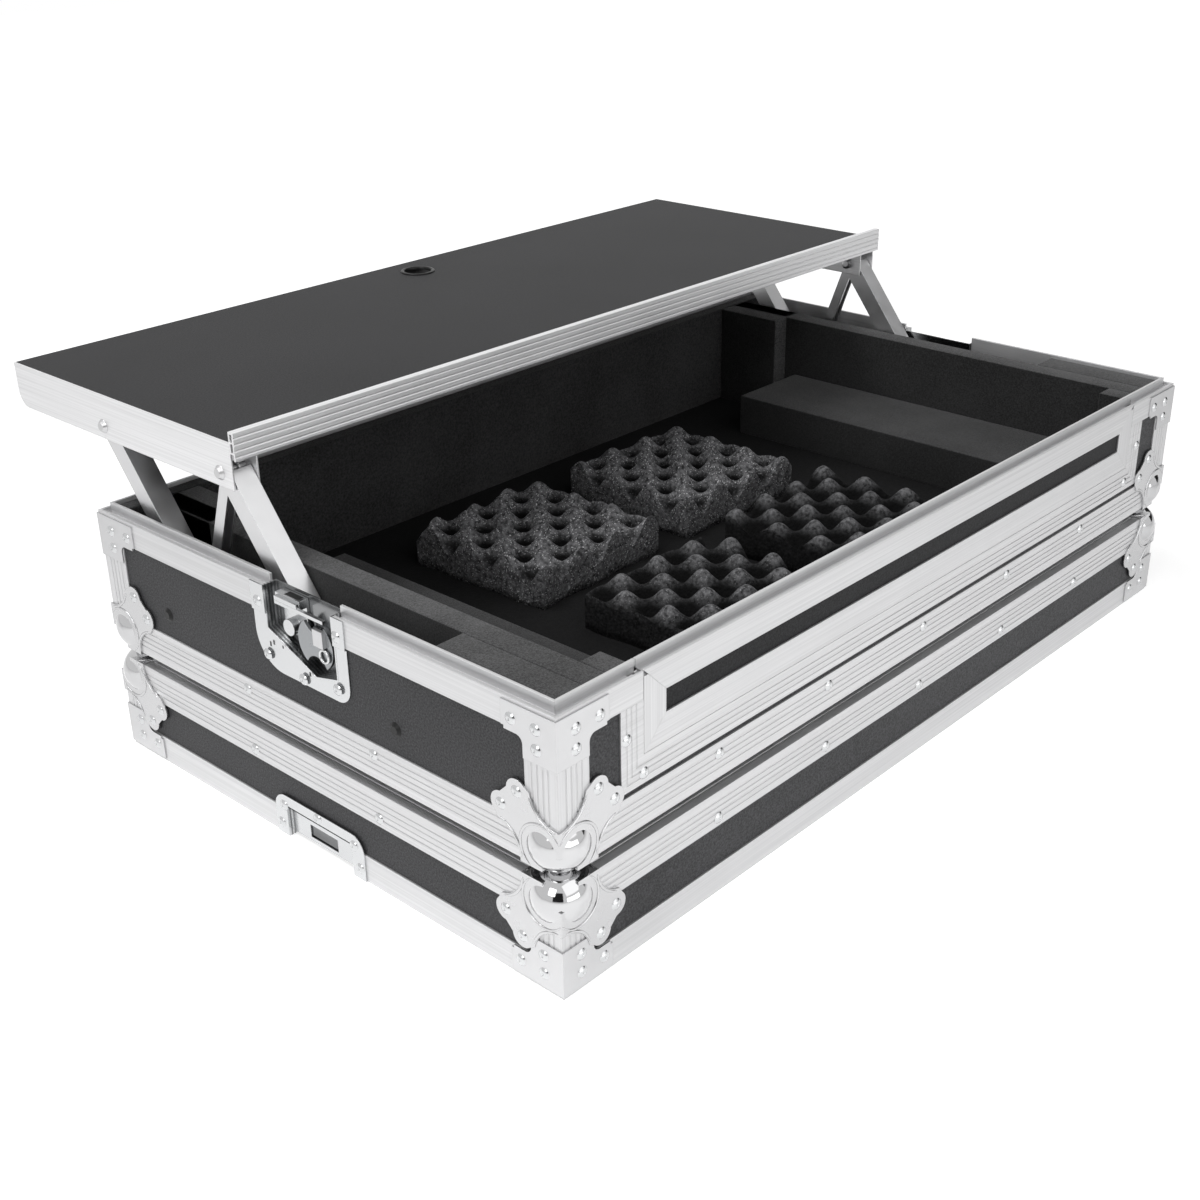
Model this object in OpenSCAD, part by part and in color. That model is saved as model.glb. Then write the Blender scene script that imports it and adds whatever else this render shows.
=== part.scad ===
// Flight case for a desktop controller: lift-off lid, foam-lined base, lift-out
// front panel and a laptop shelf on parallelogram arms. The base stands on its lid.
// Millimetres, +Z up. The origin is on the floor, under the middle of the object.

/* [Case] */
// Length of the case along its front
case_w = 870; // [780:5:1000]
// Depth of the case from front to back
case_d = 525; // [515:5:640]
// Height of the lid
lid_h = 89; // [86:1:130]
// Height of the base, from its underside to its rim
base_h = 121; // [119:1:170]
// Thickness of the laminated panels
panel_t = 7; // [6.5:0.5:8]

/* [Edge extrusions] */
// Thickness of the aluminium skins
skin = 1.5; // [1.2:0.1:1.8]
// Width of the outer flanges
angle_w = 30; // [26:1:33]
// Reach of the inner legs from the corner
angle_leg = 22; // [16:1:25]
// Number of ribs along each outer flange
rib_n = 4; // [2:1:5]
// Spacing of the ribs
rib_pitch = 5; // [4:0.5:5]
// Width of the groove beside a rib
rib_w = 1.2; // [0.8:0.1:2]
// Depth of the groove beside a rib
rib_depth = 0.4; // [0.2:0.1:0.6]

/* [Rims] */
// Height of the skirt of the base rim
rim_skirt = 22; // [20:0.5:24]
// Height of the skirt of the lid rim
lid_skirt = 24; // [20:0.5:26]
// Height of the inner lip above the base rim
lip_h = 6; // [4:0.5:7]
// Thickness of the inner lip
lip_t = 2.5; // [1.5:0.1:2.7]
// Thickness of the outer edge beside the groove
rim_edge_t = 2.5; // [1.8:0.1:2.7]
// Depth of the groove in the base rim
groove_h = 3; // [2:0.5:4]

/* [Ball corners] */
// Inset of the centre of a ball from the three faces it joins
ball_in = 15.5; // [14:0.5:16]
// How far the ball stands proud of the faces
ball_proud = 6; // [5:0.5:7]
// Depth of the worn flat on the ball
ball_flat = 0.4; // [0.3:0.1:0.8]
// Length cut off the extrusions at a ball corner
corner_cut = 33; // [33:0.5:35]
// Thickness of the corner leaves
leaf_t = 1.5; // [1:0.1:2]
// Reach of a leaf from the corner along each edge
leaf_reach = 59.2; // [57:0.2:62]
// Radius of the lobe round a rivet of the leaf
lobe_r = 9.5; // [8:0.5:10.5]
// Radius of the arch cut into the side of a leaf
arch_r = 25.5; // [22:0.5:27]
// Distance of the arch centre from the corner
arch_at = 61; // [59:0.5:64]

/* [Rim braces] */
// Thickness of the brace
brace_t = 1.2; // [0.8:0.1:2]
// Width of the upright leg
brace_w = 29.5; // [28:0.5:33]
// Length of the upright leg, from the rim edge
brace_down = 40; // [38:0.5:44]
// Length of the level leg
brace_along = 49; // [46:0.5:52]
// Lower edge of the level leg, from the rim edge
brace_low = 24; // [23:0.5:26]
// Gap between the rim edge and the brace
brace_gap = 2.5; // [2:0.5:4]
// Radius of the inner bend between the legs
brace_r = 6; // [4:0.5:8]

/* [Rivets] */
// Diameter of a rivet head
rivet_d = 9.5; // [8:0.5:10]
// Height of a rivet head
rivet_h = 2; // [1.5:0.1:2.5]
// Diameter of a rivet shank
shank_d = 4.8; // [4:0.1:5.5]
// Spacing of the rivets along the long edges
rivet_pitch = 134.3; // [110:0.1:150]
// Spacing of the rivets along the short edges
side_rivet_pitch = 151; // [130:1:170]
// Distance of the base rivets from the base's underside
rivet_in = 19.8; // [17.3:0.5:22.8]
// Distance of the lid rivets from the lid's top
lid_rivet_in = 23; // [18:0.5:23.5]

/* [Front opening] */
// Inset of the lift-out panel from the sides of the case
opening_in = 84; // [80:1:95]
// Depth of the lift-out panel below the rim
opening_h = 64; // [62:1:66]
// Width of the bars of both front frames
bar_w = 23; // [21:0.5:24]
// Depth of the tongue of the lift-out panel
tongue_h = 7.5; // [6:0.5:8]
// Clearance on each side of a tongue
tongue_gap = 1; // [0.6:0.1:1.5]

/* [Latches] */
// Width of the latch and keeper plates
latch_w = 109; // [104:1:114]
// Height of the latch plate below the rim
latch_h = 70; // [69:0.5:72]
// Height of the keeper plate above the rim edge of the lid
keeper_h = 38; // [36:0.5:40]
// Sheet thickness of the dishes
dish_t = 1.2; // [1:0.1:1.4]
// Depth of the dishes behind the face of the case
dish_depth = 13; // [12:0.5:14]
// Radius swept by the wings of the latch key
key_r = 20; // [17:0.5:21]
// Thickness of the latch key and hook
key_t = 2.5; // [2:0.1:2.8]

/* [Interior] */
// Thickness of the floor lining
lining_t = 9; // [6:0.5:12]
// Height of the foam above the rim
foam_rise = 3; // [1:0.5:5]
// Width of the slot that holds the arms
slot_w = 30; // [28:0.5:33]
// Thickness of the side partitions
partition_t = 22; // [18:1:26]
// Extra thickness of the partitions at the back
thick_t = 20; // [14:1:24]
// Length of the thick part of a partition
thick_len = 76; // [60:1:80]
// Distance of the rear foam from the back of the case
rear_foam_in = 25; // [20:1:28]
// Distance from the slot blocks to the lower pivots of the front arms
block_gap = 126; // [113:1:143]
// Depth of the front corner blocks
corner_block_d = 27; // [22:1:35]
// Width of the raised side bolsters
bolster_w = 98; // [80:1:105]
// Height of the bolsters over the floor lining
bolster_h = 42; // [34:1:50]
// Distance of the bolsters from the back face
bolster_in = 115; // [113:1:155]
// Width of an egg-crate pad
pad_w = 156; // [140:1:166]
// Depth of an egg-crate pad
pad_d = 154; // [140:1:160]
// Height of the valleys of a pad
pad_low = 17; // [12:1:22]
// Height of the peaks of a pad
pad_high = 42; // [36:1:50]
// Half wave of the egg-crate relief
egg_wave = 23.3; // [20:0.1:26]

/* [Laptop shelf] */
// Inset of the shelf from the sides of the case
shelf_in = 15; // [13:0.5:15.5]
// Depth of the shelf, from its front rail to its back
shelf_d = 315; // [290:1:330]
// Thickness of the shelf board
board_t = 7; // [6:0.5:9]
// Width of a side rail
rail_w = 24; // [23.5:0.1:25]
// Height of a side rail
rail_h = 38; // [36:0.5:42]
// Sheet thickness of the rails
rail_t = 1.5; // [1.2:0.1:1.7]
// Radius of the lower rear corner of a side rail
rail_r = 14; // [8:0.5:18]
// Height of the front rail
front_rail_h = 22.5; // [20:0.5:24]
// Depth of the front rail, from front to back
front_rail_d = 6; // [5:0.5:8]
// Height of the front rail above the board
front_rail_rise = 9; // [7:0.5:10]
// Diameter of the cable hole
cable_d = 30; // [24:1:36]
// Distance of the cable hole from the back of the shelf
cable_in = 36; // [28:1:60]

/* [Arms] */
// Distance between the pivots of an arm
arm_len = 177; // [170:1:182]
// Lean of the raised arms, in degrees from level
arm_lean = 52; // [49:1:56]
// Width of the arms, seen from the side
arm_w = 18; // [16:0.5:18.5]
// Width of the front flange of an arm
arm_flange = 19.6; // [18:0.1:19.8]
// Thickness of the arms
arm_t = 2; // [1.6:0.1:2.2]
// Lower pivot of the rear arms, from the back face
arm_rear = 112; // [104:1:125]
// Distance between the front and the rear arms
arm_space = 160; // [140:1:164]
// Depth of the lower pivots below the rim
pivot_drop = 70.5; // [66:0.5:72]
// Height of the upper pivots below the top of the shelf board
pivot_under = 27; // [25:0.5:28]
// Distance of the front upper pivot behind the front of the shelf
pivot_back = 22; // [18:0.5:28]
// Diameter of the lower pivot studs
stud_d = 8; // [6:0.5:8]
// Diameter of the upper pivot bolts
bolt_d = 6; // [5:0.5:6]
// Width of the props, seen from the side
prop_w = 11; // [10.5:0.5:12]
// Depth of the props
prop_depth = 10; // [9:0.5:10.5]

/* [Hidden] */
$fn = 48;

// Overrun of every cut
over = 1;
// Clearance of pieces that move past each other, and of soft pieces
fit = 0.3;
// Clearance of a shank in its bore
bore_gap = 0.1;

// Whole wall, from the outer face to the inner leg of the extrusions
wall = panel_t + 2 * skin;
inner = wall - skin;
base_z = lid_h + 2 * ball_proud;
base_top = base_z + base_h;
lid_web = lip_h + skin + tongue_gap;
ball_r = ball_in + ball_proud + ball_flat;
rim_web = groove_h + skin;

// Leaf outline, as shares of its reach
leaf_edge_share = 0.676;
leaf_tip_share = 0.512;
leaf_round_shares = [0.971, 0.709];
lobe_shares = [0.887, 0.625];

// Rivets of a brace, from the upright edge and from the rim edge, as shares of the brace
brace_rivet_shares = [[0.353, 0.36], [0.816, 0.36], [0.353, 0.74]];

// Points of the latch recess, as shares of the plate, from the middle of the rim edge
recess_front_share = 0.376;
recess_front_low_share = 0.743;
recess_low_shares = [0.151, 0.829];
recess_back_share = 0.353;
recess_back_low_share = 0.5;
latch_rivet_shares = [[0.427, 0.214], [0.372, 0.829], [-0.014, 0.929], [-0.417, 0.214], [-0.385, 0.843]];
latch_back_r_share = 0.43;
latch_front_r_share = 0.2;
key_place_shares = [-0.142, 0.471];

// Keeper of the lid
keeper_recess_share = 0.367;
keeper_recess_h_share = 0.76;
keeper_r_share = 0.37;
keeper_rivet_shares = [[0.395, 0.74], [0.445, 0.26], [0, 0.88], [-0.395, 0.74], [-0.445, 0.26]];
loop_w_share = 0.31;
loop_low_share = 0.2;
loop_high_share = 0.5;
loop_at_share = 0.25;

// Interior levels
floor_z = base_z + wall;
lining_z = floor_z + lining_t;
foam_top = base_top + foam_rise;
lid_foam_t = lining_t - skin;

// Lift-out panel and the fixed frame round it
opening_z = base_top - opening_h;
frame_x = opening_in - bar_w;
frame_z = opening_z - bar_w;
slot_depth = tongue_h + skin;
board_bite = bar_w / 2;
tongue_t = panel_t - 2 * tongue_gap;

// Arms, shelf and props
arm_front = case_d - arm_rear - arm_space;
block_end = arm_front - block_gap;
bolster_end = case_d - bolster_in;
arm_rise = arm_len * sin(arm_lean);
arm_run = arm_len * cos(arm_lean);
low_z = base_top - pivot_drop;
high_z = low_z + arm_rise;
high_y = arm_front + arm_run;
shelf_top = high_z + pivot_under;
shelf_y = high_y - pivot_back;
shelf_back = shelf_y + shelf_d;
rail_y = shelf_y + front_rail_d;
arm_x = shelf_in + (rail_w - arm_flange) / 2;
arm_shift = case_w - 2 * shelf_in - rail_w;
prop_run = arm_space - arm_run;
prop_len = sqrt(prop_run * prop_run + arm_rise * arm_rise);
prop_turn = atan2(-arm_rise, prop_run);
prop_x = arm_x + arm_t + over;
strip_t = skin + fit + tongue_gap / 5;
strip_w = 22;
strip_over = 44;
strip_end = 108;
shoulder_d = arm_w - 4 * over;
nut_d = arm_w * 0.72;
nut_t = 4;
bolt_head_t = rail_t * 2;
rear_flange_share = 0.153;
front_flange_share = 0.06;

// Middle of the whole object from front to back
mid_y = (shelf_back - ball_proud) / 2;

// Egg-crate relief: steps in a half wave, and the power that widens the peaks
wave_steps = 3;
swell_power = 0.85;
// Centres of the pads as shares of the case, their turn in degrees, and the distances of the
// first peak from the left and the back edge, in half waves
pad_place_shares = [
  [0.375, 0.651, 2, 0.43, 0.73], [0.606, 0.651, -2, 0.43, 0.52],
  [0.609, 0.281, 1, 0.34, 0.26], [0.379, 0.261, 1, 1.55, 0.52]
];

silver = [0.80, 0.81, 0.82];
steel = [0.70, 0.71, 0.72];
laminate = [0.08, 0.08, 0.085];
foam = [0.16, 0.16, 0.17];
black_steel = [0.05, 0.05, 0.05];

// The case is drawn from its front left corner on the floor and then centred
module placed() {
  translate([-case_w / 2, -mid_y, 0]) children();
}

module left_and_right() {
  children();
  translate([case_w, 0, 0]) mirror([1, 0, 0]) children();
}

module front_and_back() {
  children();
  translate([0, case_d, 0]) mirror([0, 1, 0]) children();
}

module four_corners() {
  left_and_right() front_and_back() children();
}

// The drawing of the underside of a box, turned over to be its top at the given height
module turned_over(height) {
  translate([0, 0, height]) mirror([0, 0, 1]) children();
}

// A section in [in from the front, up], carried along X
module along_x(length) {
  rotate([90, 0, 90]) linear_extrude(length) children();
}

// A section in [in from the left, up], carried along Y
module along_y(length) {
  mirror([1, 0, 0]) rotate([0, 0, 90]) along_x(length) children();
}

// A plate drawn in [back, up], carried along X
module side_plate(thickness) {
  rotate([90, 0, 90]) linear_extrude(thickness) children();
}

// Keeps what lies inside the mitre lines of a frame bar
module mitred_x(length, width) {
  intersection() {
    children();
    translate([0, 0, -base_top]) linear_extrude(2 * base_top)
      polygon([[0, 0], [length, 0], [length - width, width], [width, width]]);
  }
}

// Double-angle extrusion: outer angle, square corner tube and inner legs that hold the panels
module edge_section() {
  difference() {
    union() {
      square([angle_w, skin]);
      square([skin, angle_w]);
      square([wall, wall]);
      translate([inner, 0]) square([skin, angle_leg]);
      translate([0, inner]) square([angle_leg, skin]);
    }
    translate([skin, skin]) square([panel_t, panel_t]);
    for (i = [1 : rib_n]) {
      translate([i * rib_pitch + rib_pitch / 2, -over]) square([rib_w, over + rib_depth]);
      translate([-over, i * rib_pitch + rib_pitch / 2]) square([over + rib_depth, rib_w]);
    }
  }
}

// Rim of the base, from its top edge down, with the groove and the inner lip
module base_rim_section() {
  polygon([
    [0, -rim_skirt], [skin, -rim_skirt], [skin, -rim_web], [inner, -rim_web],
    [inner, -rim_skirt], [wall, -rim_skirt], [wall, lip_h], [wall - lip_t, lip_h],
    [wall - lip_t, -groove_h], [rim_edge_t, -groove_h], [rim_edge_t, 0], [0, 0]
  ]);
}

// Rim of the lid, from its open edge up, with the room for the lip of the base
module lid_rim_section() {
  polygon([
    [0, 0], [0, lid_skirt], [skin, lid_skirt], [skin, lid_web], [inner, lid_web],
    [inner, lid_skirt], [wall, lid_skirt], [wall, lid_web - skin],
    [wall - lip_t - tongue_gap, lid_web - skin], [wall - lip_t - tongue_gap, 0]
  ]);
}

// Rivet, seated at the origin with its shank along +Z
module rivet(depth) {
  rotate_extrude($fn = 24)
    polygon([
      [0, -rivet_h], [rivet_d * 0.26, -rivet_h], [rivet_d * 0.43, -rivet_h * 0.6],
      [rivet_d * 0.5, 0], [shank_d / 2, 0], [shank_d / 2, depth], [0, depth]
    ]);
}

module rivet_bore() {
  translate([0, 0, -rivet_h - over])
    cylinder(h = rivet_h + over + wall, d = shank_d + 2 * bore_gap, $fn = 24);
}

// Rivet places along the edge extrusions, at height z from the underside of a box
module front_edge_places(z) {
  for (i = [-2 : 2]) translate([case_w / 2 + i * rivet_pitch, 0, z]) rotate([-90, 0, 0]) children();
}

module side_edge_places(z) {
  for (i = [-1, 1]) translate([0, case_d / 2 + i * side_rivet_pitch / 2, z]) rotate([0, 90, 0]) children();
}

module floor_edge_places(z) {
  front_and_back()
    for (i = [-2 : 2]) translate([case_w / 2 + i * rivet_pitch, z, 0]) children();
  left_and_right()
    for (i = [-1, 1]) translate([z, case_d / 2 + i * side_rivet_pitch / 2, 0]) children();
}

// Rivet places of a ball corner leaf on the front face, from the corner
module leaf_places() {
  for (p = [[lobe_shares[0], lobe_shares[1]], [lobe_shares[1], lobe_shares[0]]])
    translate([p[0] * leaf_reach, -leaf_t, p[1] * leaf_reach]) rotate([-90, 0, 0]) children();
}

// Rivet places of a brace on the front face, from the rim edge down
module brace_places() {
  for (p = brace_rivet_shares)
    translate([p[0] * brace_along, -brace_t, -p[1] * brace_down]) rotate([-90, 0, 0]) children();
}

// Swaps front and side faces at a corner
module swapped() {
  mirror([1, -1, 0]) children();
}

// All rivet places on the front face of a box of this height, its rim edge up
module front_face_places(height, edge_in) {
  front_edge_places(edge_in) children();
  left_and_right() {
    leaf_places() children();
    translate([0, 0, height]) brace_places() children();
  }
}

module side_face_places(height, edge_in) {
  side_edge_places(edge_in) children();
  front_and_back() swapped() {
    leaf_places() children();
    translate([0, 0, height]) brace_places() children();
  }
}

module floor_places(edge_in) {
  floor_edge_places(edge_in) children();
  four_corners() mirror([0, 1, -1]) leaf_places() children();
}

// Long edge extrusion at the front of a box's underside
module long_edge(edge_in) {
  difference() {
    translate([corner_cut, 0, 0]) along_x(case_w - 2 * corner_cut) edge_section();
    front_edge_places(edge_in) rivet_bore();
    floor_edge_places(edge_in) rivet_bore();
  }
}

module short_edge(edge_in) {
  difference() {
    translate([0, corner_cut, 0]) along_y(case_d - 2 * corner_cut) edge_section();
    side_edge_places(edge_in) rivet_bore();
    floor_edge_places(edge_in) rivet_bore();
  }
}

// Upright extrusion at the front left corner, from the ball corner to the rim
module corner_post(height, skirt) {
  difference() {
    translate([0, 0, corner_cut]) linear_extrude(height - skirt - corner_cut) edge_section();
    translate([0, 0, height]) {
      brace_places() rivet_bore();
      swapped() brace_places() rivet_bore();
    }
  }
}

// Outline of a corner leaf on one face, grown by the gap to what stands beside it
module leaf_outline(grow) {
  reach = leaf_reach + grow;
  round_a = reach * leaf_round_shares[0];
  round_b = reach * leaf_round_shares[1];
  edge = reach * leaf_edge_share;
  tip = reach * leaf_tip_share;
  difference() {
    union() {
      polygon([
        [-leaf_t, -leaf_t], [edge, -leaf_t], [reach, tip], [round_a, round_b],
        [round_b, round_a], [tip, reach], [-leaf_t, edge]
      ]);
      for (p = [[0, 1], [1, 0]])
        translate([lobe_shares[p[0]] * leaf_reach, lobe_shares[p[1]] * leaf_reach])
          circle(r = lobe_r + grow);
    }
    translate([0, arch_at]) circle(r = arch_r - grow);
    translate([arch_at, 0]) circle(r = arch_r - grow);
    translate([-leaf_t - over, -leaf_t - over])
      square([ball_in + leaf_t + over, ball_in + leaf_t + over]);
  }
}

// Ball corner at the front left underside corner, with a wall left at the very corner of the box
module ball_corner() {
  ball_box = 2 * ball_r;
  cap = 2 * skin + rib_w;
  difference() {
    union() {
      intersection() {
        translate([ball_in, ball_in, ball_in]) sphere(r = ball_r);
        translate([-ball_proud, -ball_proud, -ball_proud]) cube([ball_box, ball_box, ball_box]);
      }
      translate([0, 0, -leaf_t]) linear_extrude(leaf_t) leaf_outline(0);
      rotate([90, 0, 0]) linear_extrude(leaf_t) leaf_outline(0);
      mirror([1, -1, 0]) rotate([90, 0, 0]) linear_extrude(leaf_t) leaf_outline(0);
    }
    difference() {
      translate([skin, skin, skin]) cube([ball_box, ball_box, ball_box]);
      cube([inner - fit, inner - fit, inner - fit]);
    }
    translate([cap, cap, cap]) cube([ball_box, ball_box, ball_box]);
    leaf_places() rivet_bore();
    swapped() leaf_places() rivet_bore();
    mirror([0, 1, -1]) leaf_places() rivet_bore();
  }
}

// One face of a rim brace, drawn along the front from the rim edge down
module brace_face() {
  foot = [brace_w, -brace_low];
  rotate([90, 0, 0]) linear_extrude(brace_t) {
    difference() {
      translate([-brace_t, -brace_low]) square([brace_along + brace_t, brace_low - brace_gap]);
      translate([brace_along - brace_gap, -brace_low - over]) square([brace_gap + over, brace_gap + over]);
    }
    translate([-brace_t, -brace_down]) square([brace_w + brace_t, brace_down - brace_gap]);
    difference() {
      translate([foot[0], foot[1] - brace_r]) square([brace_r, brace_r]);
      translate([foot[0] + brace_r, foot[1] - brace_r]) circle(r = brace_r);
    }
  }
}

module leaf_clearance() {
  translate([0, over, 0]) rotate([90, 0, 0]) linear_extrude(brace_t + 2 * over) leaf_outline(bore_gap);
}

module brace() {
  difference() {
    union() {
      brace_face();
      swapped() brace_face();
    }
    brace_places() rivet_bore();
    swapped() brace_places() rivet_bore();
  }
}

// A face panel of a box: width between the corner tubes, up into the rim
module face_panel(width, height, web) {
  translate([wall, skin, wall]) cube([width - 2 * wall, panel_t, height - web - wall]);
}

// Floor panel of a box, seen as its underside
module floor_panel(edge_in) {
  difference() {
    translate([wall, wall, skin]) cube([case_w - 2 * wall, case_d - 2 * wall, panel_t]);
    floor_places(edge_in) rivet_bore();
  }
}

// A box is drawn underside down with its rim up. The lid is this box turned over.
module as_lid() {
  turned_over(lid_h) children();
}

module as_base() {
  translate([0, 0, base_z]) children();
}

// Lid

module lid_top_panel() color(laminate) placed() as_lid() floor_panel(lid_rivet_in);

module lid_long_panels() color(laminate) placed() as_lid() front_and_back()
  difference() {
    face_panel(case_w, lid_h, lid_web);
    front_face_places(lid_h, lid_rivet_in) rivet_bore();
  }

module lid_side_panels() color(laminate) placed() as_lid() left_and_right()
  difference() {
    swapped() face_panel(case_d, lid_h, lid_web);
    side_face_places(lid_h, lid_rivet_in) rivet_bore();
    turned_over(lid_h) {
      keeper_hole();
      keeper_places() rivet_bore();
    }
  }

module lid_long_edges() color(silver) placed() as_lid() front_and_back() long_edge(lid_rivet_in);

module lid_short_edges() color(silver) placed() as_lid() left_and_right() short_edge(lid_rivet_in);

module lid_corner_posts() color(silver) placed() as_lid() four_corners() corner_post(lid_h, lid_skirt);

module lid_long_rims() color(silver) placed() front_and_back()
  difference() {
    mitred_x(case_w, wall) along_x(case_w) lid_rim_section();
    left_and_right() mirror([0, 0, 1]) brace_places() rivet_bore();
  }

module lid_side_rims() color(silver) placed() left_and_right()
  difference() {
    swapped() mitred_x(case_d, wall) along_x(case_d) lid_rim_section();
    front_and_back() swapped() mirror([0, 0, 1]) brace_places() rivet_bore();
    keeper_hole();
    keeper_places() rivet_bore();
  }

module lid_ball_corners() color(steel) placed() as_lid() four_corners() ball_corner();

// The upright legs of the lid braces end where the leaves of the ball corners begin
module lid_braces() color(silver) placed() four_corners() difference() {
  mirror([0, 0, 1]) brace();
  turned_over(lid_h) {
    leaf_clearance();
    swapped() leaf_clearance();
  }
}

module lid_foam() color(foam) placed()
  translate([wall + fit, wall + fit, lid_h - wall - lid_foam_t])
    cube([case_w - 2 * (wall + fit), case_d - 2 * (wall + fit), lid_foam_t]);

module lid_rivets() color(steel) placed() {
  as_lid() {
    front_and_back() {
      front_edge_places(lid_rivet_in) rivet(inner);
      left_and_right() leaf_places() rivet(inner + leaf_t);
    }
    left_and_right() {
      side_edge_places(lid_rivet_in) rivet(inner);
      front_and_back() swapped() leaf_places() rivet(inner + leaf_t);
    }
    floor_edge_places(lid_rivet_in) rivet(inner);
    four_corners() mirror([0, 1, -1]) leaf_places() rivet(inner + leaf_t);
  }
  four_corners() mirror([0, 0, 1]) {
    brace_places() rivet(inner + brace_t);
    swapped() brace_places() rivet(inner + brace_t);
  }
  left_and_right() keeper_places() rivet(inner + dish_t);
}

// Keeper on the left side of the lid, in [back, up] from the middle of the rim edge

module keeper_plate_outline() {
  r = keeper_h * keeper_r_share;
  difference() {
    translate([-latch_w / 2, 0]) square([latch_w, keeper_h]);
    for (m = [0, 1]) mirror([m, 0]) translate([latch_w / 2 - r, keeper_h - r]) difference() {
      square([r + over, r + over]);
      circle(r = r);
    }
  }
}

module keeper_recess_outline(grow) {
  half = latch_w * keeper_recess_share + grow;
  translate([-half, -over]) square([2 * half, keeper_h * keeper_recess_h_share + grow + over]);
}

module keeper_hole() {
  translate([-over - dish_t, case_d / 2, 0])
    side_plate(dish_depth + 2 * over + dish_t) keeper_recess_outline(dish_t + fit);
}

module keeper_places() {
  for (p = keeper_rivet_shares)
    translate([-dish_t, case_d / 2 + p[0] * latch_w, p[1] * keeper_h]) rotate([0, 90, 0]) children();
}

module keeper() {
  loop_half = latch_w * loop_w_share / 2;
  loop_t = 2 * dish_t;
  difference() {
    translate([0, case_d / 2, 0]) {
      translate([-dish_t, 0, 0]) side_plate(dish_t) difference() {
        keeper_plate_outline();
        keeper_recess_outline(0);
      }
      difference() {
        translate([-dish_t, 0, 0]) side_plate(dish_depth + dish_t) intersection() {
          keeper_recess_outline(dish_t);
          keeper_plate_outline();
        }
        translate([-dish_t - over, 0, 0]) side_plate(dish_depth + over) keeper_recess_outline(0);
      }
      translate([dish_depth * loop_at_share, 0, 0]) side_plate(loop_t) difference() {
        translate([-latch_w * keeper_recess_share - dish_t / 2, keeper_h * loop_low_share / 2])
          square([2 * latch_w * keeper_recess_share + dish_t, keeper_h * loop_high_share]);
        translate([-loop_half, keeper_h * loop_low_share])
          square([2 * loop_half, keeper_h * (loop_high_share - loop_low_share)]);
      }
    }
    keeper_places() rivet_bore();
  }
}

module lid_keepers() color(steel) placed() left_and_right() keeper();

// Base

module base_floor() color(laminate) placed() as_base() floor_panel(rivet_in);

module base_back_panel() color(laminate) placed() as_base() translate([0, case_d, 0]) mirror([0, 1, 0])
  difference() {
    face_panel(case_w, base_h, rim_web);
    front_face_places(base_h, rivet_in) rivet_bore();
  }

module base_side_panels() color(laminate) placed() as_base() left_and_right()
  difference() {
    swapped() face_panel(case_d, base_h, rim_web);
    side_face_places(base_h, rivet_in) rivet_bore();
    translate([0, 0, base_h]) {
      latch_hole();
      latch_places() rivet_bore();
    }
    translate([0, 0, -base_z]) panel_bolt_places() bolt_bore();
  }

// Fixed board of the front: a sill between two ends that reach up into the rim
module base_front_board() color(laminate) placed() difference() {
  as_base() face_panel(case_w, base_h, rim_web);
  translate([frame_x + board_bite, 0, frame_z + board_bite])
    cube([case_w - 2 * (frame_x + board_bite), wall, opening_h + bar_w]);
  as_base() front_face_places(base_h, rivet_in) rivet_bore();
  frame_rivet_places() rivet_bore();
}

module base_long_edges() color(silver) placed() as_base() front_and_back() long_edge(rivet_in);

module base_short_edges() color(silver) placed() as_base() left_and_right() short_edge(rivet_in);

module base_corner_posts() color(silver) placed() as_base() four_corners() corner_post(base_h, rim_skirt);

module long_rim() {
  difference() {
    translate([0, 0, base_top]) mitred_x(case_w, wall) along_x(case_w) base_rim_section();
    translate([0, 0, base_top]) left_and_right() brace_places() rivet_bore();
  }
}

module base_back_rim() color(silver) placed()
  translate([0, case_d, 0]) mirror([0, 1, 0]) long_rim();

module base_side_rims() color(silver) placed() left_and_right()
  translate([0, 0, base_top]) difference() {
    swapped() mitred_x(case_d, wall) along_x(case_d) base_rim_section();
    front_and_back() swapped() brace_places() rivet_bore();
    latch_hole();
    latch_places() rivet_bore();
  }

// Short rims at the ends of the front, slotted for the tongues of the lift-out panel
module base_front_rims() color(silver) placed() left_and_right() difference() {
  long_rim();
  translate([opening_in - fit, -over, base_top - rim_skirt - over])
    cube([case_w, wall + 2 * over, rim_skirt + lip_h + 2 * over]);
  translate([opening_in - slot_depth, skin, base_top - rim_skirt - over])
    cube([slot_depth, panel_t, rim_skirt + 2 * over]);
}

// Section of a fixed frame bar, in [in from the front, towards the opening]: it grips the
// fixed board on one side and holds the tongue groove on the other
module frame_section() {
  difference() {
    square([wall, bar_w]);
    translate([skin, -over]) square([panel_t, board_bite + over]);
    translate([skin, bar_w - slot_depth]) square([panel_t, slot_depth + over]);
    for (i = [1 : rib_n - 1]) translate([-over, i * rib_pitch]) square([over + rib_depth, rib_w]);
  }
}

module frame_rivet_places() {
  left_and_right() {
    translate([frame_x + board_bite / 2, 0, base_top - opening_h * 0.72]) rotate([-90, 0, 0]) children();
    translate([opening_in, 0, frame_z + board_bite * 0.7]) rotate([-90, 0, 0]) children();
  }
}

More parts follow.
